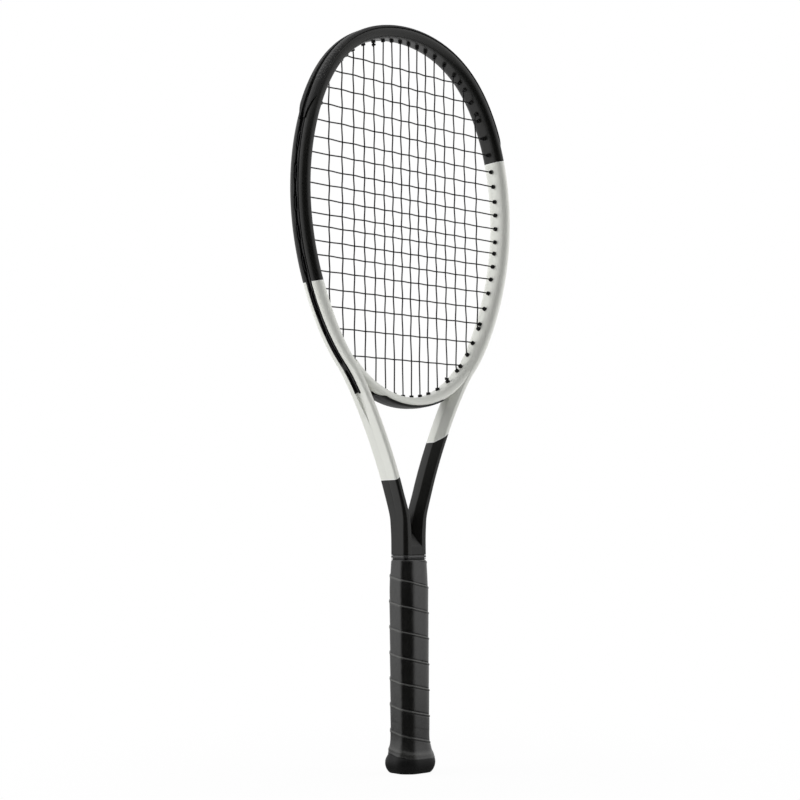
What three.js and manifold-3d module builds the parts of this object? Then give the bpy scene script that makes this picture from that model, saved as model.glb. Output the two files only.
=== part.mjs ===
// A strung tennis racket, standing on its butt: Z runs up the handle to the tip of the hoop,
// X runs across the head and Y through its thickness. All sizes are in millimetres.
import * as THREE from "three";
import { mergeVertices } from "three/addons/utils/BufferGeometryUtils.js";
import Module from "manifold-3d";

const wasm = await Module();
wasm.setup();

// Overall sizes
const LENGTH = 685; // butt to the outside of the bumper guard
const HEAD_WIDTH = 259; // over the outer faces of the hoop
const HEAD_HEIGHT = 356.4; // from the tip to the bridge, over the outer faces of the hoop
const BEAM = 23; // depth of the frame, front to back
const HOOP_THICKNESS = 11; // hoop tube, inner to outer face
const ARM_THICKNESS = 10; // throat arm, inner to outer face
const SEAM = 0.3; // clearance between pieces that touch

// Throat and shaft of the frame, from the bridge down
const THROAT_HEIGHT = 101.5; // underside of the bridge to the foot of the arms
const WEB_DROP = 11.7; // from there to the floor of the V between the arms, in the middle
const WEB_SLOPE = 12; // how much lower that floor lies at the front and back faces
const SHAFT_HEIGHT = 34.3; // foot of the arms to the step where the shaft becomes narrow
const SHAFT_HALF_WIDTH = 14.7;
const SHAFT_FLAT_DEPTH = 14.4; // width of the shaft's side face
const SHAFT_FLAT_WIDTH = 22; // width of the shaft's front face
const ARM_BEVEL_IN = 5.3; // the arm's inner bevel, measured towards the throat
const ARM_INNER_FLAT = 9.6; // inner face of the arm between its bevels
const ARM_CORNER = 1.2; // bevel of the arm's sharp outer corners
const NECK_INSET = 1.2; // how much narrower the shaft is under its collar
const LEG_FRONT_INNER = -3.5; // inner edge of a leg's front face, from its centreline
const LEG_STEP = 1; // height over which the shaft narrows to the legs
const LEG_SIDE_INSET = 1.3; // how much slimmer the legs are there
const LEG_FACE_INSET = 1.8;
const WEB_SINK = 0.22; // the web lies this far under the shaft's faces
const ROOT_BLEND_BELOW = 5; // the shaft's section turns into the arm's from here below the V's floor
const ROOT_BLEND_ABOVE = 26; // to here above it
const HOOP_BLEND_LOW = 4.7; // the arm's section turns into the hoop's from here above the bridge's underside
const HOOP_BLEND_HIGH = 50.7; // to here
const ARM_LEAVES_AT = -0.8; // cosine of the angle round the hoop where the arm leaves it
const ARM_TOP_PULL = 0.26; // how long the arm keeps the hoop's direction, as a share of its height
const ARM_ROOT_PULL = 0.173; // the same for the shaft's direction at its foot

// Stringing
const STRING_DIAMETER = 1.3;
const LAYER = 0.75; // mains lie this far in front of the middle plane and crosses behind it
const MAIN_GAPS = [5.2, 10.6, 10.5, 11.7, 12.2, 12.5, 13.6, 15.2, 27]; // middle to the hoop
const CROSS_GAPS = [
  26.8, 16.5, 16.2, 16.1, 15.6, 16, 14.2, 14.7, 13.2, 13.5,
  13.1, 11.3, 13.2, 12.7, 13.9, 15.6, 15.4, 18.9, 23.2, 34.3,
]; // from the top of the hoop down
const CROSSING_MARGIN = 1.5; // strings this near to the hoop don't cross
const MOUTH_RISE = 0.3; // a string starts to turn this far above the floor of its strip
const TURN_START = 1.2; // and turns into its lane over this stretch along the channel
const TURN_END = 3.4;
const LANE_STEP = 16;
const KNOT_LENGTH = 2.2;
const KNOT_GROOVE = 0.25; // between the two turns of a knot
const STRING_SIDES = 5;
const HOLE_SIDES = 5;

// Grommet strips and bumper guard
const CHANNEL_DEPTH = 3;
const STRIP_WIDTH = 7;
const STRIP_LIP = 1.1; // thickness of a strip's side lips
const STRIP_BASE = 0.8;
const STRIP_PROUD = 0.5; // lips above the hoop's outer face
const BARREL_RADIUS = 1.65;
const BORE_RADIUS = 1.2;
const HOLE_PLAY = 0.35; // between a barrel and its hole in the frame
const BARREL_PROUD = 1.5; // barrel end beyond the hoop's inner face
const BUMPER_THICKNESS = 0.7;
const GUARD_GAP = 0.65; // between the hoop and the flanges that lie on it
const GUARD_FLARE = 0.15; // how much wider a flange is outside than inside
const BUMPER_REACH = 106; // the guard covers the cross holes this far down from the tip
const BUMPER_TIP = 4.4; // and ends this far past the last of them
const BUMPER_FLANGE_INSET = 0.9; // its flanges stop this far short of the frame's faces
const BUMPER_TAIL = 0.28; // radians over which the flange narrows
const FLANGE_TIP = 2.2; // width of a flange where it ends
const FLANGE_ARCH = 0.05; // how far a flange bows off the hoop
const AXIS_LEAN = 0.2; // share of the string's direction in a grommet's axis
const BRIDGE_LEAN = 4; // the same in the bridge, whose grommets point almost along the strings
const STRIP_TIP = 7.2; // a side strip ends this far below its last hole
const SCOOP_LENGTH = 30; // below it the channel runs out in a shallow scoop
const SCOOP_START = 3;
const BRIDGE_CLEARANCE = 0.8; // between the arms and what leaves the bridge in its own strip
const BRIDGE_TIP = 3.7; // the bridge's strip ends this far past its last hole
const BRIDGE_FLANGE_INSET = 2.3;

// Handle
const GRIP_WIDTH = 35;
const GRIP_DEPTH = 28;
const GRIP_FLAT_WIDTH = 22; // front and back faces of the wrapped octagon
const GRIP_FLAT_DEPTH = 13.6; // side faces of the wrapped octagon
const GRIP_THICKNESS = 1.8;
const GRIP_BOTTOM_Z = 11.1;
const GRIP_PITCH = 23.2; // one turn of the wound strip
const GRIP_SEAM_DROP = 13.2; // from the grip's top to its first seam at the left edge of the front face
const GRIP_SEAM_DEPTH = 0.5;
const GRIP_EDGE = 1; // height of the rounding at the grip's top
const TAPER_HEIGHT = 17.3; // the grip's top becomes slimmer over this height
const TAPER = 1.3; // by this much
const FLARE = 3.3; // how far the wrapped butt swells
const FLARE_TOP_Z = 45;
const PALLET_BOTTOM_Z = 9.5;
const PALLET_SINK = 0.2; // the pallet's top below the grip's
const PALLET_SIDE_WALL = 2.9; // foam between the frame's legs and the grip
const PALLET_FACE_WALL = 3.1;
const LEG_END_Z = 30;
const SKIRT_TOP_Z = 36;
const SKIRT_WALL = 1.2;
const BUTT_LIP = 5.2; // how far the bare butt rim swells past the straight grip
const BUTT_LIP_Z = 6;
const DOOR_WIDTH = 24;
const DOOR_DEPTH = 18;
const DOOR_THICKNESS = 1.8;
const DOOR_CORNER = 1.5;
const DOOR_RECESS = 0.4;
const TONGUE_WIDTH = 6; // snap tongues of the door
const TONGUE_THICKNESS = 1.1;
const TONGUE_HEIGHT = 6;
const TONGUE_SINK = 0.3; // how far a tongue is rooted in the door's plate
const HOOK_THICKNESS = 0.9;
const HOOK_HEIGHT = 1;
const HOOK_PROUD = 0.5; // past the tongue's outer face
const HOOK_DROP = 0.1; // below the tongue's end
const COLLAR_HEIGHT = 4.2;
const COLLAR_THICKNESS = 0.9;
const TAPE_HEIGHT = 3;
const TAPE_THICKNESS = 0.7;
const STAPLE_WIDTH = 9;
const STAPLE_LEG = 5;
const STAPLE_WIRE = 0.6;
const STAPLE_Z = 21;
const STAPLE_SINK = 0.4; // crown below the butt cap's skin
const STAPLE_SPREAD = 6.1; // from the middle of a face

// Heights that follow from these sizes
const BRIDGE_Z = LENGTH - BUMPER_THICKNESS - GUARD_GAP - HEAD_HEIGHT; // underside of the bridge
const ARM_ROOT_Z = BRIDGE_Z - THROAT_HEIGHT;
const WEB_TOP_Z = ARM_ROOT_Z - WEB_DROP;
const WEB_EDGE_Z = WEB_TOP_Z - WEB_SLOPE;
const NECK_TOP_Z = ARM_ROOT_Z - SHAFT_HEIGHT;
const COLLAR_TOP_Z = NECK_TOP_Z - SEAM;
const COLLAR_BOTTOM_Z = COLLAR_TOP_Z - COLLAR_HEIGHT;
const TAPE_TOP_Z = COLLAR_BOTTOM_Z - SEAM;
const GRIP_TOP_Z = TAPE_TOP_Z - TAPE_HEIGHT - SEAM;
const GRIP_SEAM_Z = GRIP_TOP_Z - GRIP_SEAM_DROP;
const TAPER_START_Z = GRIP_TOP_Z - TAPER_HEIGHT;
const PALLET_TOP_Z = GRIP_TOP_Z - PALLET_SINK;
const DOOR_TOP_Z = DOOR_RECESS + DOOR_THICKNESS;

// Finishes
const finish = (color, roughness, metalness = 0) =>
  new THREE.MeshStandardMaterial({ color, roughness, metalness });
const framePaint = finish("#3a3b3c", 0.4);
const guardPlastic = finish("#1c1c1d", 0.55);
const stringPoly = finish("#17181a", 0.35);
const gripLeather = finish("#5f605e", 0.75);
const collarRubber = finish("#4d4f50", 0.6);
const buttPlastic = finish("#3c3d3d", 0.5);
const palletFoam = finish("#c9c2ad", 0.9);
const stapleSteel = finish("#b9bcc0", 0.35, 1);

// Solids and lofts
const vec = (x, y, z) => new THREE.Vector3(x, y, z);
const lerp = (a, b, t) => a + (b - a) * t;
const ease = (from, to, value) => {
  const t = Math.min(Math.max((value - from) / (to - from), 0), 1);
  return t * t * (3 - 2 * t);
};

function toSolid(geometry) {
  const bare = new THREE.BufferGeometry();
  bare.setAttribute("position", geometry.getAttribute("position"));
  bare.setIndex(geometry.index);
  const merged = mergeVertices(bare, 1e-4);
  const vertProperties = merged.getAttribute("position").array;
  const triVerts = new Uint32Array(merged.index.array);
  const make = () => new wasm.Manifold(new wasm.Mesh({ numProp: 3, vertProperties, triVerts }));
  const solid = make();
  if (solid.volume() > 0) return solid;
  for (let i = 0; i < triVerts.length; i += 3) {
    [triVerts[i], triVerts[i + 1]] = [triVerts[i + 1], triVerts[i]];
  }
  return make();
}

function toMesh(solid, name, material) {
  const { vertProperties, triVerts } = solid.getMesh();
  const geometry = new THREE.BufferGeometry();
  geometry.setAttribute("position", new THREE.BufferAttribute(vertProperties, 3));
  geometry.setIndex(new THREE.BufferAttribute(triVerts, 1));
  geometry.computeVertexNormals();
  const mesh = new THREE.Mesh(geometry, material);
  mesh.name = name;
  return mesh;
}

// Triangles of a flat outline, all turning the same way as the outline does.
function capFaces(outline) {
  const turns = THREE.ShapeUtils.area(outline) > 0;
  return THREE.ShapeUtils.triangulateShape(outline, []).map(([a, b, c]) => {
    const same = THREE.ShapeUtils.area([outline[a], outline[b], outline[c]]) > 0 === turns;
    return same ? [a, b, c] : [a, c, b];
  });
}

// A skin over a row of rings that have as many points each. An open row is closed by caps of
// the given flat outline, and a closed row joins its last ring to its first.
function loft(rings, outline = null) {
  const size = rings[0].length;
  const positions = rings.flat().flatMap((p) => [p.x, p.y, p.z]);
  const faces = [];
  const spans = outline ? rings.length - 1 : rings.length;
  for (let i = 0; i < spans; i++) {
    const low = i * size;
    const high = ((i + 1) % rings.length) * size;
    for (let k = 0; k < size; k++) {
      const next = (k + 1) % size;
      faces.push(low + k, low + next, high + next, low + k, high + next, high + k);
    }
  }
  if (outline) {
    const last = (rings.length - 1) * size;
    for (const [a, b, c] of capFaces(outline)) {
      faces.push(a, c, b, last + a, last + b, last + c);
    }
  }
  const geometry = new THREE.BufferGeometry();
  geometry.setAttribute("position", new THREE.Float32BufferAttribute(positions, 3));
  geometry.setIndex(faces);
  return toSolid(geometry);
}

function regularOutline(sides) {
  const angles = [...Array(sides).keys()].map((k) => (2 * Math.PI * k) / sides);
  return angles.map((a) => new THREE.Vector2(Math.cos(a), Math.sin(a)));
}

// A round bar through a row of points, as a string or a drill.
function tube(points, radius, sides) {
  const outline = regularOutline(sides);
  const up = vec(0, 1, 0);
  const rings = points.map((p, i) => {
    const along = vec(0, 0, 0);
    if (i > 0) along.add(p.clone().sub(points[i - 1]).normalize());
    if (i < points.length - 1) along.add(points[i + 1].clone().sub(p).normalize());
    along.normalize();
    up.addScaledVector(along, -up.dot(along)).normalize();
    const across = along.clone().cross(up);
    return outline.map((o) =>
      p.clone().addScaledVector(up, radius * o.x).addScaledVector(across, radius * o.y),
    );
  });
  return loft(rings, outline);
}

function block(width, depth, height, x, y, z) {
  const geometry = new THREE.BoxGeometry(width, depth, height);
  geometry.translate(x, y, z);
  return toSolid(geometry);
}

const mirrored = (half) => [...half, ...half.map(([n, y]) => [n, -y]).reverse()];
const flat = (section) => section.map(([n, y]) => new THREE.Vector2(n, y));
const blend = (a, b, t) => a.map(([n, y], i) => [lerp(n, b[i][0], t), lerp(y, b[i][1], t)]);

// Centreline of the hoop: an egg, wider above its middle, where 0 is the tip and PI the bridge.
const HOOP_TOP_Z = LENGTH - BUMPER_THICKNESS - GUARD_GAP - HOOP_THICKNESS / 2;
const HOOP_HALF_HEIGHT = (HEAD_HEIGHT - HOOP_THICKNESS) / 2;
const HOOP_MIDDLE_Z = HOOP_TOP_Z - HOOP_HALF_HEIGHT;
const HOOP_HALF_WIDTH = (HEAD_WIDTH - HOOP_THICKNESS) / 2;
const eggShare = (c) => 0.9973 + 0.0731 * c + 0.0118 * c ** 3 + 0.1149 * c ** 4 + 0.0194 * c ** 5;

function hoopPoint(angle) {
  const c = Math.cos(angle);
  const x = HOOP_HALF_WIDTH * Math.sin(angle) * eggShare(c);
  return new THREE.Vector2(x, HOOP_MIDDLE_Z + HOOP_HALF_HEIGHT * c);
}

function direction(curve, u) {
  const step = 1e-4;
  return curve(u + step).sub(curve(u - step)).normalize();
}

// Centreline of the frame tube on the right: round the hoop, then down the arm to the shaft.
const ARM_ANGLE = Math.acos(ARM_LEAVES_AT);
const armTop = hoopPoint(ARM_ANGLE);
const armTopDirection = direction(hoopPoint, ARM_ANGLE);
const ROOT_X = SHAFT_HALF_WIDTH - ARM_THICKNESS / 2 + 0.2;
const armHeight = armTop.y - ARM_ROOT_Z;
const arm = new THREE.CubicBezierCurve(
  armTop,
  armTop.clone().addScaledVector(armTopDirection, ARM_TOP_PULL * armHeight),
  new THREE.Vector2(ROOT_X, ARM_ROOT_Z + ARM_ROOT_PULL * armHeight),
  new THREE.Vector2(ROOT_X, ARM_ROOT_Z),
);
const hoopSpeed = hoopPoint(ARM_ANGLE + 1e-3).distanceTo(hoopPoint(ARM_ANGLE)) / 1e-3;
const ARM_SPAN = (3 * ARM_TOP_PULL * armHeight) / hoopSpeed;
const ARM_END = ARM_ANGLE + ARM_SPAN;

// A negative place is on the left.
function framePoint(u) {
  const side = Math.sign(u) || 1;
  const place = Math.abs(u);
  let p;
  if (place <= ARM_ANGLE) p = hoopPoint(place);
  else if (place <= ARM_END) p = arm.getPoint((place - ARM_ANGLE) / ARM_SPAN);
  else p = new THREE.Vector2(ROOT_X, ARM_ROOT_Z - (place - ARM_END) * hoopSpeed);
  return new THREE.Vector2(side * p.x, p.y);
}

// The point n outside a centreline and y in front of or behind the middle plane.
function offset(curve, u, n, y) {
  const p = curve(u);
  const d = direction(curve, u);
  return vec(p.x - d.y * n, y, p.y + d.x * n);
}

const ringAt = (curve, u, section) => section.map(([n, y]) => offset(curve, u, n, y));

// The place on a centreline, between two others, where a falling measure reaches zero.
function solve(measure, low, high) {
  let [a, b] = [low, high];
  const sign = Math.sign(measure(a));
  for (let i = 0; i < 50; i++) {
    const middle = (a + b) / 2;
    if (Math.sign(measure(middle)) === sign) a = middle;
    else b = middle;
  }
  return (a + b) / 2;
}

const FOOT = ARM_END + ARM_ROOT_Z / hoopSpeed; // where the centreline would reach the butt
const frameAtHeight = (z) => solve((u) => framePoint(u).y - z, 0, FOOT);

// Half sections of the frame tube, from the middle of the outer face round to the inner face.
const HALF_BEAM = BEAM / 2;
const CHANNEL_HALF = STRIP_WIDTH / 2 + SEAM;
const hoopOut = HOOP_THICKNESS / 2;
const hoopHalf = [
  [hoopOut - CHANNEL_DEPTH, CHANNEL_HALF],
  [hoopOut - 0.1, CHANNEL_HALF + 0.1],
  [hoopOut, 0.53 * HALF_BEAM],
  [0.87 * hoopOut, 0.765 * HALF_BEAM],
  [0.51 * hoopOut, 0.94 * HALF_BEAM],
  [0.02 * hoopOut, HALF_BEAM],
  [-0.47 * hoopOut, 0.94 * HALF_BEAM],
  [-0.84 * hoopOut, 0.765 * HALF_BEAM],
  [-hoopOut, 0.48 * HALF_BEAM],
];
const armOut = ARM_THICKNESS / 2;
const armFrontInner = ARM_BEVEL_IN - armOut;
const armHalf = (depth, half) => [
  [armOut - depth, half],
  [armOut, half + 0.1],
  [armOut, 0.7 * HALF_BEAM],
  [armOut, HALF_BEAM - ARM_CORNER],
  [armOut - ARM_CORNER, HALF_BEAM],
  [(armOut - ARM_CORNER + armFrontInner) / 2, HALF_BEAM],
  [armFrontInner, HALF_BEAM],
  [(armFrontInner - armOut) / 2, (HALF_BEAM + ARM_INNER_FLAT / 2) / 2],
  [-armOut, ARM_INNER_FLAT / 2],
];
// In the shaft the two legs come within a seam of the middle plane x = 0.
const legInner = SEAM / 2 - ROOT_X;
const shaftHalf = (inset) => [
  [SHAFT_HALF_WIDTH - ROOT_X - inset, 2],
  [SHAFT_HALF_WIDTH - ROOT_X - inset, 3.9],
  [SHAFT_HALF_WIDTH - ROOT_X - inset, 0.75 * (SHAFT_FLAT_DEPTH / 2)],
  [SHAFT_HALF_WIDTH - ROOT_X - inset, SHAFT_FLAT_DEPTH / 2 - inset / 2],
  [SHAFT_FLAT_WIDTH / 2 - ROOT_X - inset / 2, HALF_BEAM - inset],
  [lerp(SHAFT_FLAT_WIDTH / 2 - ROOT_X, LEG_FRONT_INNER, 0.5), HALF_BEAM - inset],
  [LEG_FRONT_INNER, HALF_BEAM - inset],
  [(LEG_FRONT_INNER + legInner) / 2, (HALF_BEAM - inset + ARM_INNER_FLAT / 2) / 2],
  [legInner, ARM_INNER_FLAT / 2],
];
// Inside the handle they are slimmer than the neck and leave room for the pallets.
const LEG_HALF_WIDTH = Math.min(
  SHAFT_HALF_WIDTH - NECK_INSET - LEG_SIDE_INSET,
  GRIP_WIDTH / 2 - GRIP_THICKNESS - PALLET_SIDE_WALL - 2 * SEAM,
);
const LEG_HALF_DEPTH = Math.min(
  HALF_BEAM - NECK_INSET - LEG_FACE_INSET,
  GRIP_DEPTH / 2 - GRIP_THICKNESS - PALLET_FACE_WALL - 2 * SEAM,
);
const legHalf = [
  [LEG_HALF_WIDTH - ROOT_X, 0.25 * LEG_HALF_DEPTH],
  [LEG_HALF_WIDTH - ROOT_X, 0.4 * LEG_HALF_DEPTH],
  [LEG_HALF_WIDTH - ROOT_X, 0.6 * LEG_HALF_DEPTH],
  [LEG_HALF_WIDTH - ROOT_X, LEG_HALF_DEPTH - 2],
  [LEG_HALF_WIDTH - ROOT_X - 2, LEG_HALF_DEPTH],
  [lerp(LEG_HALF_WIDTH - ROOT_X - 2, legInner, 0.35), LEG_HALF_DEPTH],
  [lerp(LEG_HALF_WIDTH - ROOT_X - 2, legInner, 0.7), LEG_HALF_DEPTH],
  [legInner, LEG_HALF_DEPTH],
  [legInner, LEG_HALF_DEPTH / 2],
];
const WEB_HALF = ROOT_X - 3.5; // the V's floor reaches this far each side of the middle

function frameHalf(u) {
  const z = framePoint(u).y;
  const scoop = ease(STRIP_END_Z - SCOOP_LENGTH, STRIP_END_Z - SCOOP_START, z);
  const throat = armHalf(lerp(0.05, armOut - CHANNEL_FLOOR, scoop), lerp(0.5, CHANNEL_HALF, scoop));
  const upper = blend(throat, hoopHalf, ease(BRIDGE_Z + HOOP_BLEND_LOW, BRIDGE_Z + HOOP_BLEND_HIGH, z));
  return blend(shaftHalf(0), upper, ease(WEB_TOP_Z - ROOT_BLEND_BELOW, WEB_TOP_Z + ROOT_BLEND_ABOVE, z));
}

const count = (n) => [...Array(n).keys()];
const spaced = (from, to, steps) => count(steps + 1).map((i) => lerp(from, to, i / steps));
const mirrorRing = (ring) => ring.map((p) => vec(-p.x, p.y, p.z));

function frameTube() {
  const right = [...stations, ...lowStations].map((u) =>
    ringAt(framePoint, u, mirrored(frameHalf(u))),
  );
  const stage = (z, half) => right.push(ringAt(framePoint, frameAtHeight(z), mirrored(half)));
  stage(NECK_TOP_Z, shaftHalf(NECK_INSET));
  stage(PALLET_TOP_Z + SEAM + LEG_STEP, shaftHalf(NECK_INSET));
  stage(PALLET_TOP_Z + SEAM, legHalf);
  stage(LEG_END_Z, legHalf);
  const left = right.slice(1).map(mirrorRing).reverse();
  return loft([...left, ...right], flat(mirrored(legHalf)));
}

// The web that joins the two legs below the V, as an outline across the frame's depth.
function web() {
  const face = HALF_BEAM - WEB_SINK;
  const half = [
    [PALLET_TOP_Z + 2 * LEG_STEP, face - NECK_INSET],
    [NECK_TOP_Z, face - NECK_INSET],
    [NECK_TOP_Z + SEAM, face],
    [WEB_EDGE_Z, face],
    [WEB_TOP_Z, ARM_INNER_FLAT / 2],
  ];
  const outline = mirrored(half);
  const rings = [-WEB_HALF, WEB_HALF].map((x) => outline.map(([z, y]) => vec(x, y, z)));
  return loft(rings, flat(outline));
}

// Holes through the hoop. Each starts inside the head, where its string arrives, and ends in
// the channel; its axis leans from the hoop's normal a little towards the string.
const BARREL_END = -hoopOut - BARREL_PROUD;
const CHANNEL_FLOOR = hoopOut - CHANNEL_DEPTH;
const STRIP_BOTTOM = CHANNEL_FLOOR + SEAM;
const STRIP_FLOOR = STRIP_BOTTOM + STRIP_BASE;
const LIP_TOP = hoopOut + STRIP_PROUD;
const LANE_HEIGHT = STRIP_FLOOR + STRING_DIAMETER / 2 + 0.35;
const LANE = STRIP_WIDTH / 2 - STRIP_LIP - STRING_DIAMETER / 2 - SEAM;

const inside = (u) => offset(hoopPoint, u, BARREL_END, 0);
const innerHalfWidth = HOOP_HALF_WIDTH - hoopOut;
const innerTop = HOOP_TOP_Z - hoopOut;
const innerHeight = 2 * (HOOP_HALF_HEIGHT - hoopOut);
const sum = (list) => list.reduce((a, b) => a + b, 0);
const MAIN_X = count(MAIN_GAPS.length - 1).map(
  (i) => (innerHalfWidth * sum(MAIN_GAPS.slice(0, i + 1))) / sum(MAIN_GAPS),
);
const CROSS_Z = count(CROSS_GAPS.length - 1).map(
  (j) => innerTop - (innerHeight * sum(CROSS_GAPS.slice(0, j + 1))) / sum(CROSS_GAPS),
);
const WIDEST = 0.45 * Math.PI; // the hoop's widest place, near enough to part top from bottom
const GUARD_TOP = hoopOut + GUARD_GAP + BUMPER_THICKNESS;

// The bridge's strip holds the mains that leave the hoop clear of the arms. Each loop joins two
// of them, so it holds them in pairs.
const armPlaces = spaced(ARM_ANGLE, ARM_END, 60);
function gapToArm(u) {
  const p = offset(hoopPoint, u, GUARD_TOP, 0);
  const skin = new THREE.Vector2(p.x, p.z);
  return Math.min(...armPlaces.map((place) => framePoint(place).distanceTo(skin))) - armOut;
}
const nearArm = solve((u) => gapToArm(u) - BRIDGE_CLEARANCE, Math.PI, ARM_ANGLE);
const clearTo = hoopPoint(nearArm).x - BARREL_RADIUS - HOLE_PLAY;
const bridgeMains = 2 * Math.floor(MAIN_X.filter((x) => x < clearTo).length / 2);
const HOLE_SEARCH = 0.4; // radians to either side of a hole's start in which it meets its strip

// One hole on the right; toward is the string's direction as it leaves the head.
function hole(u, toward, bridge) {
  const start = inside(u);
  const curve = bridge ? hoopPoint : framePoint;
  const outward = (place) => offset(curve, place, 1, 0).sub(offset(curve, place, 0, 0));
  const lean = toward.clone().multiplyScalar(bridge ? BRIDGE_LEAN : AXIS_LEAN);
  const axisAt = (place) => outward(place).add(lean).normalize();
  const miss = (place) => {
    const p = offset(curve, place, STRIP_FLOOR, 0).sub(start);
    const axis = axisAt(place);
    return p.x * axis.z - p.z * axis.x;
  };
  const place = solve(miss, u - HOLE_SEARCH, u + HOLE_SEARCH);
  const end = offset(curve, place, STRIP_FLOOR, 0);
  return { start, axis: axisAt(place), place, out: outward(place), curve, bridge, end };
}

const flipX = (p) => vec(-p.x, p.y, p.z);
const leftHole = (h) => ({
  ...h,
  start: flipX(h.start),
  axis: flipX(h.axis),
  out: flipX(h.out),
  end: flipX(h.end),
  place: -h.place,
});

const UP = vec(0, 0, 1);
const DOWN = vec(0, 0, -1);
const RIGHT = vec(1, 0, 0);
const topHoles = MAIN_X.map((x) => hole(solve((u) => inside(u).x - x, 0, WIDEST), UP, false));
const bottomHoles = MAIN_X.map((x, i) => {
  const u = solve((v) => inside(v).x - x, Math.PI, WIDEST);
  return hole(u, DOWN, i < bridgeMains);
});
const sideHoles = CROSS_Z.map((z) => hole(solve((u) => inside(u).z - z, 0, Math.PI), RIGHT, false));
const rightHoles = [...topHoles, ...bottomHoles, ...sideHoles];
const allHoles = [...rightHoles, ...rightHoles.map(leftHole)];

// The guard and the side strips end a little way past their last holes.
const lastGuarded = sideHoles.filter((h) => h.start.z > LENGTH - BUMPER_REACH).pop();
const BUMPER_END = lastGuarded.place + BUMPER_TIP / hoopSpeed;
const STRIP_START = BUMPER_END + (2 * SEAM) / hoopSpeed;
const STRIP_STOP = bottomHoles[bridgeMains].place + STRIP_TIP / hoopSpeed;
const BRIDGE_END = bottomHoles[bridgeMains - 1].place - BRIDGE_TIP / hoopSpeed;
const STRIP_END_Z = framePoint(STRIP_STOP).y;

// Places of the stations along the right half of the frame tube, from the tip down. What
// lies on the frame uses the same stations, so that its facets follow the frame's.
const stations = [
  ...spaced(0, BUMPER_END, 10),
  ...spaced(BUMPER_END, ARM_ANGLE, 10).slice(1),
  ...spaced(ARM_ANGLE, ARM_END, 9).slice(1),
];
const between = (from, to) => [from, ...stations.filter((u) => u > from + 0.01 && u < to - 0.01), to];
const lowStations = [WEB_TOP_Z, (WEB_TOP_Z + WEB_EDGE_Z) / 2, NECK_TOP_Z + SEAM].map(frameAtHeight);

function drill(solid, holes, radius, before, after) {
  const bars = holes.map((h) =>
    tube(
      [h.start.clone().addScaledVector(h.axis, -before), h.end.clone().addScaledVector(h.axis, after)],
      radius,
      HOLE_SIDES,
    ),
  );
  return solid.subtract(wasm.Manifold.union(bars));
}

// Barrels end flat inside their strip's base.
function barrel(h) {
  const outline = regularOutline(HOLE_SIDES);
  const side = vec(0, 1, 0);
  const across = h.axis.clone().cross(side);
  const seat = h.end.clone().addScaledVector(h.out, -STRIP_BASE / 2);
  const radial = outline.map((o) =>
    side.clone().multiplyScalar(BARREL_RADIUS * o.x).addScaledVector(across, BARREL_RADIUS * o.y),
  );
  const low = radial.map((r) => h.start.clone().add(r));
  const high = radial.map((r) => {
    const p = h.start.clone().add(r);
    const reach = seat.clone().sub(p).dot(h.out) / h.axis.dot(h.out);
    return p.addScaledVector(h.axis, reach);
  });
  return loft([low, high], outline);
}

function fitBarrels(strip, holes) {
  const joined = wasm.Manifold.union([strip, ...holes.map(barrel)]);
  return drill(joined, holes, BORE_RADIUS, 1, 3);
}

const stripSection = [
  [STRIP_BOTTOM, STRIP_WIDTH / 2],
  [LIP_TOP, STRIP_WIDTH / 2],
  [LIP_TOP, STRIP_WIDTH / 2 - STRIP_LIP],
  [STRIP_FLOOR, STRIP_WIDTH / 2 - STRIP_LIP],
];

// How high the hoop's outer surface stands at a distance y from the middle plane.
function surfaceAt(y) {
  const outer = hoopHalf.slice(1, 6);
  if (y <= outer[0][1]) return outer[0][0];
  const next = outer.findIndex(([, at]) => at >= y);
  const [n0, y0] = outer[next - 1];
  const [n1, y1] = outer[next];
  return lerp(n0, n1, (y - y0) / (y1 - y0));
}

// A strip whose flanges lie on the hoop out to the given reach.
function guardSection(reach) {
  const depths = [0.366, 0.746, 1].map((share) => lerp(STRIP_WIDTH / 2, reach, share));
  const arch = [0, FLANGE_ARCH, 0];
  const under = depths.map((y, i) => [surfaceAt(y) + GUARD_GAP + arch[i], y]);
  const over = under.map(([n, y]) => [n + BUMPER_THICKNESS, y + GUARD_FLARE]);
  return [
    [STRIP_BOTTOM, STRIP_WIDTH / 2],
    [hoopOut + GUARD_GAP, STRIP_WIDTH / 2],
    ...under,
    ...over.reverse(),
    [GUARD_TOP, STRIP_WIDTH / 2 - STRIP_LIP],
    [STRIP_FLOOR, STRIP_WIDTH / 2 - STRIP_LIP],
  ];
}

// Reaches of the flanges from the middle plane
const FLANGE_END = STRIP_WIDTH / 2 + FLANGE_TIP;
const BUMPER_FLANGE = HALF_BEAM - BUMPER_FLANGE_INSET;
const BRIDGE_FLANGE = HALF_BEAM - BRIDGE_FLANGE_INSET;

function bumperGuard() {
  const half = between(0, BUMPER_END);
  const places = [...half.slice(1).map((u) => -u).reverse(), ...half];
  const rings = places.map((u) => {
    const widen = ease(0, BUMPER_TAIL, BUMPER_END - Math.abs(u));
    const reach = lerp(FLANGE_END, BUMPER_FLANGE, widen);
    return ringAt(framePoint, u, mirrored(guardSection(reach)));
  });
  const strip = loft(rings, flat(mirrored(guardSection(FLANGE_END))));
  return fitBarrels(strip, allHoles.filter((h) => Math.abs(h.place) < BUMPER_END));
}

function sideStrip(side) {
  const rings = between(STRIP_START, STRIP_STOP).map((u) =>
    ringAt(framePoint, side * u, mirrored(stripSection)),
  );
  const strip = loft(rings, flat(mirrored(stripSection)));
  const mine = (h) => !h.bridge && side * h.place > BUMPER_END;
  return fitBarrels(strip, allHoles.filter(mine));
}

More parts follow.
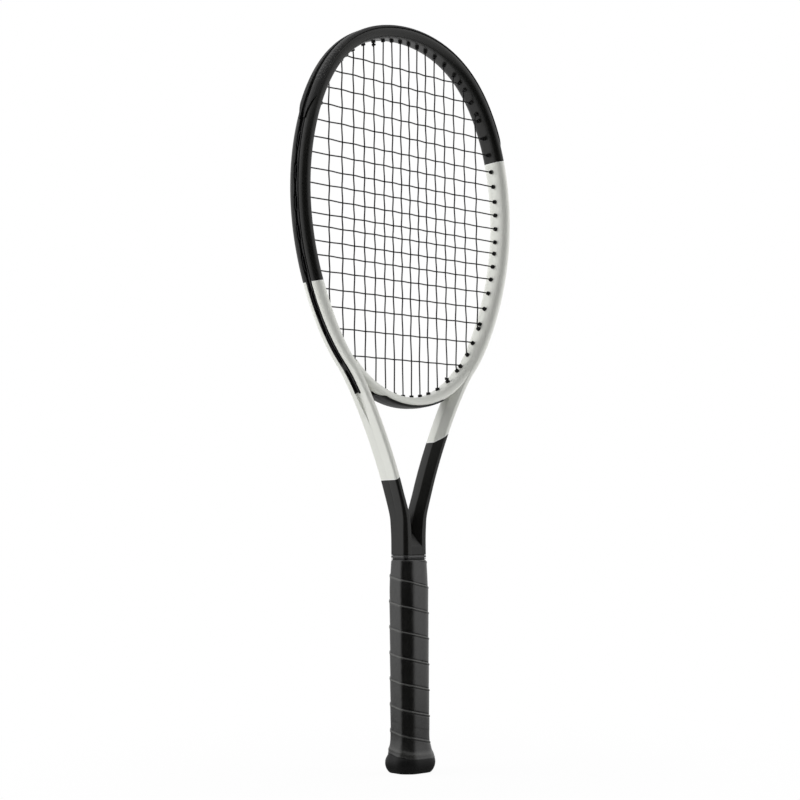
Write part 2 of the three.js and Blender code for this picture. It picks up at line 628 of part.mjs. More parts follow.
function bridgeStrip() {
  const rings = spaced(BRIDGE_END, 2 * Math.PI - BRIDGE_END, 8).map((u) => {
    const widen = ease(Math.PI - BRIDGE_END, 0.4 * (Math.PI - BRIDGE_END), Math.abs(u - Math.PI));
    return ringAt(hoopPoint, u, mirrored(guardSection(lerp(FLANGE_END, BRIDGE_FLANGE, widen))));
  });
  const strip = loft(rings, flat(mirrored(guardSection(FLANGE_END))));
  return fitBarrels(strip, allHoles.filter((h) => h.bridge));
}

// The bridge closes the hoop above the throat; its ends meet the arms' inner faces.
const BRIDGE_REACH = ARM_ANGLE + 0.05;

function throatBridge() {
  const rings = spaced(BRIDGE_REACH, 2 * Math.PI - BRIDGE_REACH, 12).map((u) =>
    ringAt(hoopPoint, u, mirrored(hoopHalf)),
  );
  const arc = loft(rings, flat(mirrored(hoopHalf)));
  const clear = 1.3 * SEAM;
  const grown = (u) =>
    frameHalf(u).map(([n, y]) => [n * (1 + clear / armOut), y * (1 + clear / HALF_BEAM)]);
  const places = spaced(ARM_ANGLE - 0.25, ARM_ANGLE + 0.6 * ARM_SPAN, 12);
  const right = places.map((u) => {
    const half = grown(u);
    half[0] = [half[1][0], 0.6 * half[0][1]];
    return ringAt(framePoint, u, mirrored(half));
  });
  const outline = flat(mirrored(hoopHalf));
  const arms = [loft(right, outline), loft(right.map(mirrorRing), outline)];
  return drill(arc.subtract(arms[0]).subtract(arms[1]), allHoles, BARREL_RADIUS + HOLE_PLAY, 3, 3);
}

function hairpin() {
  return drill(frameTube().add(web()), allHoles, BARREL_RADIUS + HOLE_PLAY, 3, 3);
}

// Strings. Each runs through a barrel, turns into its lane in the channel and comes back
// through the next barrel. Mains keep the front lane and crosses the back lane.
const mouth = (h) => h.end.clone().addScaledVector(h.out, MOUTH_RISE);

function laneTurn(h, toward, lane, shift, share) {
  const place = h.place + (toward * shift) / hoopSpeed;
  return offset(h.curve, place, LANE_HEIGHT, lane * share);
}

// From a hole's mouth along its lane to a place further on.
function laneRun(h, target, lane) {
  const toward = Math.sign(target - h.place);
  const points = [
    mouth(h),
    laneTurn(h, toward, lane, TURN_START, 0.7),
    laneTurn(h, toward, lane, TURN_END, 1),
  ];
  const pieces = Math.floor((Math.abs(target - h.place) * hoopSpeed) / LANE_STEP);
  for (let i = 1; i <= pieces; i++) {
    points.push(offset(h.curve, lerp(h.place, target, i / (pieces + 1)), LANE_HEIGHT, lane));
  }
  return points;
}

function laneLoop(from, to, lane) {
  const back = Math.sign(from.place - to.place);
  return [
    ...laneRun(from, to.place, lane),
    laneTurn(to, back, lane, TURN_END, 1),
    laneTurn(to, back, lane, TURN_START, 0.7),
    mouth(to),
  ];
}

const laneTail = (h, target, lane) => [
  ...laneRun(h, target, lane),
  offset(h.curve, target, LANE_HEIGHT, lane),
];

const across = (holes) => [...holes.map(leftHole).reverse(), ...holes];
const mainTops = across(topHoles);
const mainBottoms = across(bottomHoles);
const crossLefts = sideHoles.map(leftHole);
const TIE_CROSS = 3; // the mains are tied off at this cross
const TIE_MAIN = 3; // the crosses are tied off at this main, counted from the middle

function meets(i, j) {
  const x = mainTops[i].start.x;
  const z = sideHoles[j].start.z;
  const below = z < mainTops[i].start.z - CROSSING_MARGIN;
  const above = z > mainBottoms[i].start.z + CROSSING_MARGIN;
  return below && above && Math.abs(x) < sideHoles[j].start.x - CROSSING_MARGIN;
}

// A string lies in its layer from its first crossing to its last.
function mainStrand(i) {
  const x = mainTops[i].start.x;
  const met = count(CROSS_Z.length).filter((j) => meets(i, j));
  const ends = [met[0], met[met.length - 1]].map((j) => vec(x, -LAYER, sideHoles[j].start.z));
  return [mainTops[i].start, ...ends, mainBottoms[i].start];
}

function crossStrand(j) {
  const z = sideHoles[j].start.z;
  const met = count(mainTops.length).filter((i) => meets(i, j));
  const ends = [met[0], met[met.length - 1]].map((i) => vec(mainTops[i].start.x, LAYER, z));
  return [crossLefts[j].start, ...ends, sideHoles[j].start];
}

function mainsString() {
  const lane = -LANE;
  const points = laneTail(mainTops[0], crossLefts[TIE_CROSS].place, lane).reverse();
  const last = mainTops.length - 1;
  for (let i = 0; i <= last; i++) {
    const strand = mainStrand(i);
    const down = i % 2 === 0;
    points.push(...(down ? strand : strand.reverse()));
    const ends = down ? mainBottoms : mainTops;
    if (i < last) points.push(...laneLoop(ends[i], ends[i + 1], lane));
  }
  points.push(...laneTail(mainTops[last], sideHoles[TIE_CROSS].place, lane));
  return tube(points, STRING_DIAMETER / 2, STRING_SIDES);
}

function crossesString() {
  const lane = LANE;
  const tieLeft = leftHole(topHoles[TIE_MAIN]);
  const points = laneTail(crossLefts[0], tieLeft.place, lane).reverse();
  const last = CROSS_Z.length - 1;
  for (let j = 0; j <= last; j++) {
    const strand = crossStrand(j);
    const rightward = j % 2 === 0;
    points.push(...(rightward ? strand : strand.reverse()));
    const ends = rightward ? sideHoles : crossLefts;
    if (j < last) points.push(...laneLoop(ends[j], ends[j + 1], lane));
  }
  points.push(...laneTail(sideHoles[last], bottomHoles[TIE_MAIN + 1].place, lane));
  return tube(points, STRING_DIAMETER / 2, STRING_SIDES);
}

// A knot of two turns round a string, against the end of the barrel that it comes out of.
function knot(h, inward) {
  const bore = STRING_DIAMETER / 2 + SEAM;
  const half = KNOT_LENGTH / 2;
  const outer = bore + STRING_DIAMETER * 0.8;
  const profile = [
    [bore, -half],
    [outer - KNOT_GROOVE, -half],
    [outer, -0.5 * half],
    [outer - KNOT_GROOVE, 0],
    [outer, 0.5 * half],
    [outer - KNOT_GROOVE, half],
    [bore, half],
  ];
  const tilt = h.axis.clone().cross(inward).length();
  const middle = h.start.clone().addScaledVector(inward, SEAM + half + tilt * outer);
  const side = vec(0, 1, 0);
  const third = inward.clone().cross(side);
  const rings = regularOutline(8).map((o) =>
    profile.map(([r, t]) =>
      middle
        .clone()
        .addScaledVector(inward, t)
        .addScaledVector(side, r * o.x)
        .addScaledVector(third, r * o.y),
    ),
  );
  return loft(rings);
}

// Octagons of the neck and of the handle
function octagon(halfX, halfY, flatX, flatY) {
  const upper = [
    [halfX, flatY / 2],
    [flatX / 2, halfY],
    [-flatX / 2, halfY],
    [-halfX, flatY / 2],
  ];
  return [...upper, ...upper.map(([x, y]) => [x, -y]).reverse()];
}
const CORNER_GROWTH = 0.83; // a flat grows by this much of the octagon's own growth

function handleOctagon(grow) {
  const more = CORNER_GROWTH * grow;
  const [halfX, halfY] = [GRIP_WIDTH / 2 + grow, GRIP_DEPTH / 2 + grow];
  return octagon(halfX, halfY, GRIP_FLAT_WIDTH + more, GRIP_FLAT_DEPTH + more);
}

function neckOctagon(grow) {
  const more = CORNER_GROWTH * grow - NECK_INSET;
  return octagon(
    SHAFT_HALF_WIDTH - NECK_INSET + grow,
    HALF_BEAM - NECK_INSET + grow,
    SHAFT_FLAT_WIDTH + more,
    SHAFT_FLAT_DEPTH + more,
  );
}

const level = (z, points) => points.map(([x, y]) => vec(x, y, z));
const stack = (levels) =>
  loft(levels.map(([z, points]) => level(z, points)), flat(levels[0][1]));
const shell = (outer, inner) =>
  loft([...outer, ...inner.reverse()].map(([z, points]) => level(z, points)));

// How far the wound grip stands outside its straight octagon at a height
function gripGrow(z) {
  if (z < FLARE_TOP_Z) return FLARE * ((FLARE_TOP_Z - z) / (FLARE_TOP_Z - GRIP_BOTTOM_Z)) ** 2;
  if (z < TAPER_START_Z) return 0;
  return -TAPER * ((z - TAPER_START_Z) / TAPER_HEIGHT) ** 1.2;
}
const PALLET_GROW = -GRIP_THICKNESS - SEAM;
const PALLET_TOP_GROW = PALLET_GROW - 1;
const PALLET_LOW_GROW = PALLET_GROW - SKIRT_WALL;
const EDGE_ROUND = 0.7;

// A V-shaped groove that winds down the grip where one turn of the strip laps the next.
function gripSeam() {
  const sides = 8;
  const corners = handleOctagon(0).map(([x, y]) => new THREE.Vector2(x, y));
  const reach = [0];
  corners.forEach((p, k) => reach.push(reach[k] + p.distanceTo(corners[(k + 1) % sides])));
  const frontLeft = 5;
  const rings = [];
  const turnsDown = Math.ceil((GRIP_SEAM_Z - GRIP_BOTTOM_Z) / GRIP_PITCH) + 1;
  for (let m = -sides; m < turnsDown * sides; m++) {
    const k = ((m % sides) + sides) % sides;
    const turns = Math.floor(m / sides) + (reach[k] - reach[frontLeft]) / reach[sides];
    const z = GRIP_SEAM_Z - GRIP_PITCH * turns;
    if (z > GRIP_TOP_Z + 2 || z < GRIP_BOTTOM_Z - 2) continue;
    const grow = gripGrow(z);
    const at = (more, rise2) => {
      const [x, y] = handleOctagon(grow + more)[k];
      return vec(x, y, z + rise2);
    };
    rings.push([at(0.4, 0.75), at(0.4, -0.6), at(-GRIP_SEAM_DEPTH, -0.15)]);
  }
  return loft(rings, [new THREE.Vector2(1, 1), new THREE.Vector2(1, 0), new THREE.Vector2(0, 0)]);
}

// Levels of the flare, which the grip shares with the butt cap's skirt inside it
const flareZ = [0.16, 0.36, 0.64].map((share) => lerp(GRIP_BOTTOM_Z, SKIRT_TOP_Z, share));

function gripWrap() {
  const straightZ = [GRIP_BOTTOM_Z, ...flareZ, SKIRT_TOP_Z, FLARE_TOP_Z, TAPER_START_Z];
  const outerZ = [...straightZ, (TAPER_START_Z + GRIP_TOP_Z) / 2, GRIP_TOP_Z - GRIP_EDGE];
  const outer = outerZ.map((z) => [z, handleOctagon(gripGrow(z))]);
  outer.push([GRIP_TOP_Z, handleOctagon(gripGrow(GRIP_TOP_Z) - EDGE_ROUND)]);
  const inner = straightZ.map((z) => [z, handleOctagon(gripGrow(z) - GRIP_THICKNESS)]);
  inner.push([GRIP_TOP_Z, handleOctagon(PALLET_TOP_GROW + SEAM)]);
  return shell(outer, inner).subtract(gripSeam());
}

function ring(low, high, grow, edge) {
  const outer = neckOctagon(SEAM + grow);
  return shell(
    [
      [low, neckOctagon(SEAM + grow - edge)],
      [low + edge, outer],
      [high - edge, outer],
      [high, neckOctagon(SEAM + grow - edge)],
    ],
    [
      [low, neckOctagon(SEAM)],
      [high, neckOctagon(SEAM)],
    ],
  );
}
const RING_EDGE = 0.3;
const gripCollar = () => ring(COLLAR_BOTTOM_Z, COLLAR_TOP_Z, COLLAR_THICKNESS, RING_EDGE);
const finishingTape = () => ring(GRIP_TOP_Z + SEAM, TAPE_TOP_Z, TAPE_THICKNESS, RING_EDGE);

// Staples that hold the butt cap to the pallet, two in the front face and two in the back.
const STAPLE_FACE = GRIP_DEPTH / 2 + gripGrow(STAPLE_Z) - GRIP_THICKNESS - SEAM - STAPLE_SINK;

// A pocket is the staple grown by a seam, with its crown's cut open to the outside.
function staple(side, x, grow, open = 0) {
  const wide = STAPLE_WIRE + 2 * grow;
  const crown = block(
    STAPLE_WIDTH + 2 * grow,
    wide + open,
    wide,
    x,
    side * (STAPLE_FACE - STAPLE_WIRE / 2 + open / 2),
    STAPLE_Z,
  );
  const legs = [-1, 1].map((end) =>
    block(
      wide,
      STAPLE_LEG + 2 * grow,
      wide,
      x + (end * (STAPLE_WIDTH - STAPLE_WIRE)) / 2,
      side * (STAPLE_FACE - STAPLE_LEG / 2),
      STAPLE_Z,
    ),
  );
  return wasm.Manifold.union([crown, ...legs]);
}
const STAPLES = [
  ["staple_front_left", -1, -1],
  ["staple_front_right", -1, 1],
  ["staple_back_left", 1, -1],
  ["staple_back_right", 1, 1],
].map(([name, side, end]) => ({ name, side, x: end * STAPLE_SPREAD }));
const pocketOpen = 2 * STAPLE_SINK + GRIP_THICKNESS;
const pockets = STAPLES.map(({ side, x }) => staple(side, x, SEAM, pocketOpen));
const staplePockets = wasm.Manifold.union(pockets);

function pallet(side) {
  const outer = stack([
    [PALLET_BOTTOM_Z, handleOctagon(PALLET_LOW_GROW)],
    [SKIRT_TOP_Z + SEAM, handleOctagon(PALLET_LOW_GROW)],
    [SKIRT_TOP_Z + SEAM, handleOctagon(PALLET_GROW)],
    [TAPER_START_Z, handleOctagon(PALLET_GROW)],
    [PALLET_TOP_Z, handleOctagon(PALLET_TOP_GROW)],
  ]);
  const low = LEG_END_Z - SEAM;
  const high = NECK_TOP_Z;
  const cavity = block(
    2 * (LEG_HALF_WIDTH + SEAM),
    2 * (LEG_HALF_DEPTH + SEAM),
    high - low,
    0,
    0,
    (high + low) / 2,
  );
  const other = block(2 * GRIP_WIDTH, GRIP_DEPTH, 2 * LENGTH, 0, (side * (SEAM - GRIP_DEPTH)) / 2, 0);
  return outer.subtract(cavity).subtract(other).subtract(staplePockets);
}

const skirtGrow = (z) => gripGrow(z) - GRIP_THICKNESS - SEAM;
const RIM_TOP_Z = GRIP_BOTTOM_Z - SEAM;
const LEDGE = 1; // inward step that the door rests against
// The bare rim: a height, and how far inside its widest ring it lies there
const RIM = [
  [0, 2.4],
  [0.8, 1.2],
  [2.6, 0.4],
  [BUTT_LIP_Z, 0],
  [RIM_TOP_Z - 1.4, 0.3],
  [RIM_TOP_Z, 0.9],
];

function buttCap() {
  const skirtZ = [RIM_TOP_Z, ...flareZ, SKIRT_TOP_Z];
  const body = stack([
    ...RIM.map(([z, inset]) => [z, handleOctagon(BUTT_LIP - inset)]),
    ...skirtZ.map((z) => [z, handleOctagon(skirtGrow(z))]),
  ]);
  const socket = stack([
    [PALLET_BOTTOM_Z - SEAM, handleOctagon(PALLET_LOW_GROW + SEAM)],
    [FLARE_TOP_Z, handleOctagon(PALLET_LOW_GROW + SEAM)],
  ]);
  const opening = block(DOOR_WIDTH + 2 * SEAM, DOOR_DEPTH + 2 * SEAM, 2 * (DOOR_TOP_Z + SEAM), 0, 0, 0);
  const hollow = block(
    DOOR_WIDTH - 2 * LEDGE,
    DOOR_DEPTH - 2 * LEDGE,
    2 * PALLET_BOTTOM_Z,
    0,
    0,
    0,
  );
  return body.subtract(socket).subtract(opening).subtract(hollow).subtract(staplePockets);
}

function buttCapDoor() {
  const [flatX, flatY] = [DOOR_WIDTH - 2 * DOOR_CORNER, DOOR_DEPTH - 2 * DOOR_CORNER];
  const plate = (grow) => octagon(DOOR_WIDTH / 2 + grow, DOOR_DEPTH / 2 + grow, flatX, flatY);
  const panel = stack([
    [DOOR_RECESS, plate(-0.4)],
    [DOOR_RECESS + 0.4, plate(0)],
    [DOOR_TOP_Z, plate(0)],
  ]);
  const wall = DOOR_WIDTH / 2 - LEDGE - SEAM;
  const tongueX = wall - HOOK_PROUD - TONGUE_THICKNESS / 2;
  const tongueZ = DOOR_TOP_Z - TONGUE_SINK + TONGUE_HEIGHT / 2;
  const hookZ = DOOR_TOP_Z - TONGUE_SINK + TONGUE_HEIGHT - HOOK_DROP - HOOK_HEIGHT / 2;
  const tongues = [-1, 1].flatMap((side) => [
    block(TONGUE_THICKNESS, TONGUE_WIDTH, TONGUE_HEIGHT, side * tongueX, 0, tongueZ),
    block(HOOK_THICKNESS, TONGUE_WIDTH, HOOK_HEIGHT, side * (wall - HOOK_THICKNESS / 2), 0, hookZ),
  ]);
  return wasm.Manifold.union([panel, ...tongues]);
}

// The racket, grouped as it comes apart
const racket = new THREE.Group();
const group = (name, ...meshes) => {
  const part = new THREE.Group();
  part.name = name;
  part.add(...meshes);
  racket.add(part);
};

group(
  "frame",
  toMesh(hairpin(), "frame_hairpin", framePaint),
  toMesh(throatBridge(), "throat_bridge", framePaint),
);
group(
  "grommets",
  toMesh(bumperGuard(), "bumper_guard", guardPlastic),
  toMesh(sideStrip(-1), "grommet_strip_left", guardPlastic),
  toMesh(sideStrip(1), "grommet_strip_right", guardPlastic),
  toMesh(bridgeStrip(), "grommet_strip_bridge", guardPlastic),
);
group(
  "string_bed",
  toMesh(mainsString(), "string_mains", stringPoly),
  toMesh(crossesString(), "string_crosses", stringPoly),
  toMesh(knot(crossLefts[TIE_CROSS], RIGHT), "knot_mains_left", stringPoly),
  toMesh(knot(sideHoles[TIE_CROSS], flipX(RIGHT)), "knot_mains_right", stringPoly),
  toMesh(knot(leftHole(topHoles[TIE_MAIN]), DOWN), "knot_crosses_top", stringPoly),
  toMesh(knot(bottomHoles[TIE_MAIN + 1], UP), "knot_crosses_bottom", stringPoly),
);
group(
  "handle",
  toMesh(pallet(-1), "pallet_front", palletFoam),
  toMesh(pallet(1), "pallet_back", palletFoam),
  toMesh(gripWrap(), "grip_wrap", gripLeather),
  toMesh(finishingTape(), "finishing_tape", guardPlastic),
  toMesh(gripCollar(), "grip_collar", collarRubber),
  toMesh(buttCap(), "butt_cap", buttPlastic),
  toMesh(buttCapDoor(), "butt_cap_door", buttPlastic),
  ...STAPLES.map(({ name, side, x }) => toMesh(staple(side, x, 0), name, stapleSteel)),
);

export default racket;
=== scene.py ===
import math

import bpy
import numpy as np
from mathutils import Matrix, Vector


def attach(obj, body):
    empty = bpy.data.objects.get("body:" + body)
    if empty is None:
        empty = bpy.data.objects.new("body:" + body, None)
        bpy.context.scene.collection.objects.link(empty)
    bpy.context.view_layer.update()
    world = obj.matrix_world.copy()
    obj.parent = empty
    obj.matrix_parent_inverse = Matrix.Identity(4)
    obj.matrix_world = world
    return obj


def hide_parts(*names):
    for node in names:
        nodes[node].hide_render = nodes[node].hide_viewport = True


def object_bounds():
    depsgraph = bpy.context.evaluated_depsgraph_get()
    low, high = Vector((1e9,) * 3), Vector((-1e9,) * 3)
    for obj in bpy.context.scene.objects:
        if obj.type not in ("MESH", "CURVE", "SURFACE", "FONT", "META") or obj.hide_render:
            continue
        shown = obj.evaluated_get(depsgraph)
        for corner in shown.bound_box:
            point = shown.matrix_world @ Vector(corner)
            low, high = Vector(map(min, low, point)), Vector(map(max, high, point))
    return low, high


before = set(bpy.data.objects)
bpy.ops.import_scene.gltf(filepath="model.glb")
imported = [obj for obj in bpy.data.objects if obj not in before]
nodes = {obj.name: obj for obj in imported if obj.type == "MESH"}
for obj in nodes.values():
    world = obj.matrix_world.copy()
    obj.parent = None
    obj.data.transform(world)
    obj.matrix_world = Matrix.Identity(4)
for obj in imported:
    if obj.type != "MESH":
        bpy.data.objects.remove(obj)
cad_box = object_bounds()

# A strung tennis racket. Sizes are in millimetres until they reach a mesh, which is in metres.
MM = 0.001
BODY = "racket"

# Overall sizes
LENGTH = cad_box[1].z / MM
HEAD_WIDTH = 259.0
HEAD_HEIGHT = 356.4
BEAM = 23.0
HOOP_THICKNESS = 11.0
ARM_THICKNESS = 10.0
SEAM = 0.3

# Throat and shaft
SHAFT_HALF_WIDTH = 13.7
SHAFT_HALF_DEPTH = 11.3
SHAFT_FLAT_DEPTH = 16.8
SHAFT_FLAT_WIDTH = 22.0
ARM_BEVEL_IN = 5.3
ARM_INNER_FLAT = 9.6
ARM_CORNER = 1.5
ARM_ROOT_Z = 225.75
WEB_TOP_Z = 214.05
WEB_EDGE_Z = 202.05
WEB_SINK = 0.02  # keeps the web's faces just under the legs'
NECK_TOP_Z = 194.3
NECK_INSET = 1.2
ARM_LEAVES_AT = -0.8
ARM_TOP_PULL = 0.26
ARM_ROOT_PULL = 0.173
LEG_END_Z = 30.0

# Stringing
STRING_DIAMETER = 1.3
MAIN_WEAVE = 0.42
CROSS_WEAVE = 0.78
MAIN_GAPS = [5.2, 10.6, 10.5, 11.7, 12.2, 12.5, 13.6, 15.2, 27]
CROSS_GAPS = [
    26.8, 16.5, 16.2, 16.1, 15.6, 16, 14.2, 14.7, 13.2, 13.5,
    13.1, 11.3, 13.2, 12.7, 13.9, 15.6, 15.4, 18.9, 23.2, 34.3,
]
TIE_CROSS = 3
TIE_MAIN = 3

# Grommet strips and bumper guard
CHANNEL_DEPTH = 3.0
STRIP_WIDTH = 7.0
STRIP_LIP = 1.1
STRIP_BASE = 0.8
STRIP_PROUD = 0.3
BARREL_RADIUS = 2.0
BORE_RADIUS = 1.3
BARREL_PROUD = 2.1
BUMPER_THICKNESS = 0.7
GUARD_GAP = 0.65
BUMPER_END_Z = 578.0
BUMPER_FLANGE = 10.6
BUMPER_TAIL = 0.15
AXIS_LEAN = 0.2
BRIDGE_LEAN = 4.0
STRIP_END_Z = 341.5
SCOOP_END_Z = 309.0
BRIDGE_STRIP_HALF = 40.5
BRIDGE_FLANGE = 10.7
BRIDGE_GAP = 0.25
BRIDGE_SINK = 2.05  # the bridge is thinner than the hoop on its throat side
WAVE_BULGE = 1.0  # how far a lip swells into the channel where no string loops past
WAVE_LENGTH = 5.5
CLOSED_Z = 365.2  # where the lips meet over a stretch of the channel
CLOSED_HALF = 3.7
CLOSED_BULGE = 2.35

# Handle
GRIP_WIDTH = 33.2
GRIP_DEPTH = 30.0
GRIP_FLAT_WIDTH = 19.6
GRIP_FLAT_DEPTH = 15.2
GRIP_THICKNESS = 1.8
GRIP_TOP_Z = 189.9
GRIP_TOP_SHRINK = 1.5
GRIP_PITCH = 23.05
GRIP_SEAM_Z = 171.0
LAP_HEIGHT = 0.4
BULB_TOP_Z = 24.0
STRAIGHT_Z = 42.0
LOW_Z = 14.0
TAPER_START_Z = 162.0
CORNER_GROWTH = 0.83
DOOR_WIDTH = 24.0
DOOR_DEPTH = 18.0
DOOR_THICKNESS = 1.8
DOOR_RECESS = 0.4
DOOR_CORNER = 1.5
COLLAR_HEIGHT = 2.1
TAPE_BOTTOM_Z = 190.4
TAPE_TOP_Z = 191.2
COLLAR_THICKNESS = 1.1

# Where the black paint stops
TOP_LEFT_Z = 435.5
TOP_RIGHT_Z = 574.1
THROAT_LEFT_Z = 262.0
THROAT_RIGHT_Z = 297.6


def ease(start, end, value):
    t = np.clip((value - start) / (end - start), 0, 1)
    return t * t * (3 - 2 * t)


# ---- centrelines
HOOP_OUT = HOOP_THICKNESS / 2
HOOP_TOP_Z = LENGTH - BUMPER_THICKNESS - GUARD_GAP - HOOP_OUT
HOOP_HALF_HEIGHT = (HEAD_HEIGHT - HOOP_THICKNESS) / 2
HOOP_MIDDLE_Z = HOOP_TOP_Z - HOOP_HALF_HEIGHT
HOOP_HALF_WIDTH = (HEAD_WIDTH - HOOP_THICKNESS) / 2


def hoop_point(angle):
    """The hoop's centreline as (x, z), from 0 at the tip to pi at the bridge."""
    c = math.cos(angle)
    egg = 0.9973 + 0.0731 * c + 0.0118 * c**3 + 0.1149 * c**4 + 0.0194 * c**5
    return np.array([HOOP_HALF_WIDTH * math.sin(angle) * egg, HOOP_MIDDLE_Z + HOOP_HALF_HEIGHT * c])


def direction(curve, u):
    step = 1e-4
    d = curve(u + step) - curve(u - step)
    return d / np.linalg.norm(d)


ARM_ANGLE = math.acos(ARM_LEAVES_AT)
ROOT_X = 9.9
ARM_TOP = hoop_point(ARM_ANGLE)
ARM_HEIGHT = ARM_TOP[1] - ARM_ROOT_Z
ARM_POLES = [
    ARM_TOP,
    ARM_TOP + direction(hoop_point, ARM_ANGLE) * ARM_TOP_PULL * ARM_HEIGHT,
    np.array([ROOT_X, ARM_ROOT_Z + ARM_ROOT_PULL * ARM_HEIGHT]),
    np.array([ROOT_X, ARM_ROOT_Z]),
]
HOOP_SPEED = np.linalg.norm(hoop_point(ARM_ANGLE + 1e-3) - ARM_TOP) / 1e-3
ARM_SPAN = 3 * ARM_TOP_PULL * ARM_HEIGHT / HOOP_SPEED
ARM_END = ARM_ANGLE + ARM_SPAN


def frame_point(u):
    """The frame tube's centreline: round the hoop and down the arm; a negative place is on the left."""
    side = -1 if u < 0 else 1
    place = abs(u)
    if place <= ARM_ANGLE:
        x, z = hoop_point(place)
    elif place <= ARM_END:
        t = (place - ARM_ANGLE) / ARM_SPAN
        a, b, c, d = ARM_POLES
        x, z = (1 - t) ** 3 * a + 3 * t * (1 - t) ** 2 * b + 3 * t * t * (1 - t) * c + t**3 * d
    else:
        x, z = ROOT_X, ARM_ROOT_Z - (place - ARM_END) * HOOP_SPEED
    return np.array([side * x, z])


def offset(curve, u, n, y):
    """The point n outside a centreline and y from the middle plane."""
    (x, z), (dx, dz) = curve(u), direction(curve, u)
    return np.array([x - dz * n, y, z + dx * n])


def ring_at(curve, u, section):
    (x, z), (dx, dz) = curve(u), direction(curve, u)
    n, y = np.asarray(section, float).T
    return np.stack([x - dz * n, y, z + dx * n], 1)


def solve(measure, low, high):
    sign = np.sign(measure(low))
    for _ in range(45):
        middle = (low + high) / 2
        low, high = (middle, high) if np.sign(measure(middle)) == sign else (low, middle)
    return (low + high) / 2


def frame_at_height(z):
    return solve(lambda u: frame_point(u)[1] - z, 0, ARM_END + 2)


# ---- sections: (outward, depth) from the middle of the outer face round to the inner face, with a
# rounding radius at each corner
HALF_BEAM = BEAM / 2
CHANNEL_HALF = STRIP_WIDTH / 2 + SEAM
CHANNEL_FLOOR = HOOP_OUT - CHANNEL_DEPTH
BRIDGE_OUT = HOOP_OUT - BRIDGE_SINK
ARM_OUT = ARM_THICKNESS / 2
ARM_FRONT_INNER = ARM_BEVEL_IN - ARM_OUT
LEG_INNER = -ROOT_X
LEG_FRONT_INNER = -3.5
CORNER_STEPS = 4

HOOP_HALF = np.array([
    [HOOP_OUT - CHANNEL_DEPTH, CHANNEL_HALF, 0.2],
    [HOOP_OUT - 0.1, CHANNEL_HALF + 0.1, 0.3],
    [HOOP_OUT, 0.53 * HALF_BEAM, 1.6],
    [0.87 * HOOP_OUT, 0.765 * HALF_BEAM, 1.6],
    [0.51 * HOOP_OUT, 0.94 * HALF_BEAM, 1.6],
    [0.02 * HOOP_OUT, HALF_BEAM, 1.6],
    [-0.47 * HOOP_OUT, 0.94 * HALF_BEAM, 1.6],
    [-0.84 * HOOP_OUT, 0.765 * HALF_BEAM, 1.4],
    [-HOOP_OUT, 0.48 * HALF_BEAM, 1.6],
])


def arm_half(depth, half):
    return np.array([
        [ARM_OUT - depth, half, 0.2],
        [ARM_OUT, half + 0.1, 0.3],
        [ARM_OUT, 0.7 * HALF_BEAM, 1.0],
        [ARM_OUT, HALF_BEAM - ARM_CORNER, 0.7],
        [ARM_OUT - ARM_CORNER, HALF_BEAM, 0.7],
        [(ARM_OUT - ARM_CORNER + ARM_FRONT_INNER) / 2, HALF_BEAM, 1.0],
        [ARM_FRONT_INNER, HALF_BEAM, 0.8],
        [(ARM_FRONT_INNER - ARM_OUT) / 2, (HALF_BEAM + ARM_INNER_FLAT / 2) / 2, 1.0],
        [-ARM_OUT, ARM_INNER_FLAT / 2, 0.6],
    ])


def shaft_half(inset):
    side = SHAFT_HALF_WIDTH - ROOT_X - inset
    face = SHAFT_HALF_DEPTH - inset
    return np.array([
        [side, 2, 0.5],
        [side, 3.9, 0.5],
        [side, 0.75 * SHAFT_FLAT_DEPTH / 2, 0.5],
        [side, SHAFT_FLAT_DEPTH / 2 - inset / 2, 1.9],
        [SHAFT_FLAT_WIDTH / 2 - ROOT_X - inset / 2, face, 1.0],
        [(SHAFT_FLAT_WIDTH / 2 - ROOT_X + LEG_FRONT_INNER) / 2, face, 0.2],
        [LEG_FRONT_INNER, face, 0.1],
        [(LEG_FRONT_INNER + LEG_INNER) / 2, (face + ARM_INNER_FLAT / 2) / 2, 0.1],
        [LEG_INNER, ARM_INNER_FLAT / 2, 0.1],
    ])


def frame_half(u):
    z = frame_point(u)[1]
    scoop = ease(SCOOP_END_Z, STRIP_END_Z - 3, z)
    throat = arm_half(0.05 + scoop * (CHANNEL_DEPTH - 0.55), 0.5 + scoop * (CHANNEL_HALF - 0.5))
    t = ease(335, 425, z)
    upper = throat * (1 - t) + HOOP_HALF * t
    t = ease(WEB_TOP_Z - 8, WEB_TOP_Z + 40, z)
    return shaft_half(0) * (1 - t) + upper * t


def mirrored(half):
    half = np.asarray(half, float)
    back = half[::-1].copy()
    back[:, 1] *= -1
    return np.concatenate([half, back])


def rounded(section, steps=CORNER_STEPS):
    """A closed outline of (a, b, radius) rows with each corner drawn as a short curve."""
    p, radius = section[:, :2], section[:, 2:3]
    before, after = np.roll(p, 1, 0) - p, np.roll(p, -1, 0) - p
    lb = np.linalg.norm(before, axis=1, keepdims=True)
    la = np.linalg.norm(after, axis=1, keepdims=True)
    cut = np.minimum(np.minimum(radius, 0.45 * lb), 0.45 * la)
    a = p + before / np.maximum(lb, 1e-6) * cut
    b = p + after / np.maximum(la, 1e-6) * cut
    t = np.linspace(0, 1, steps)[:, None, None]
    return ((1 - t) ** 2 * a + 2 * t * (1 - t) * p + t * t * b).transpose(1, 0, 2).reshape(-1, 2)


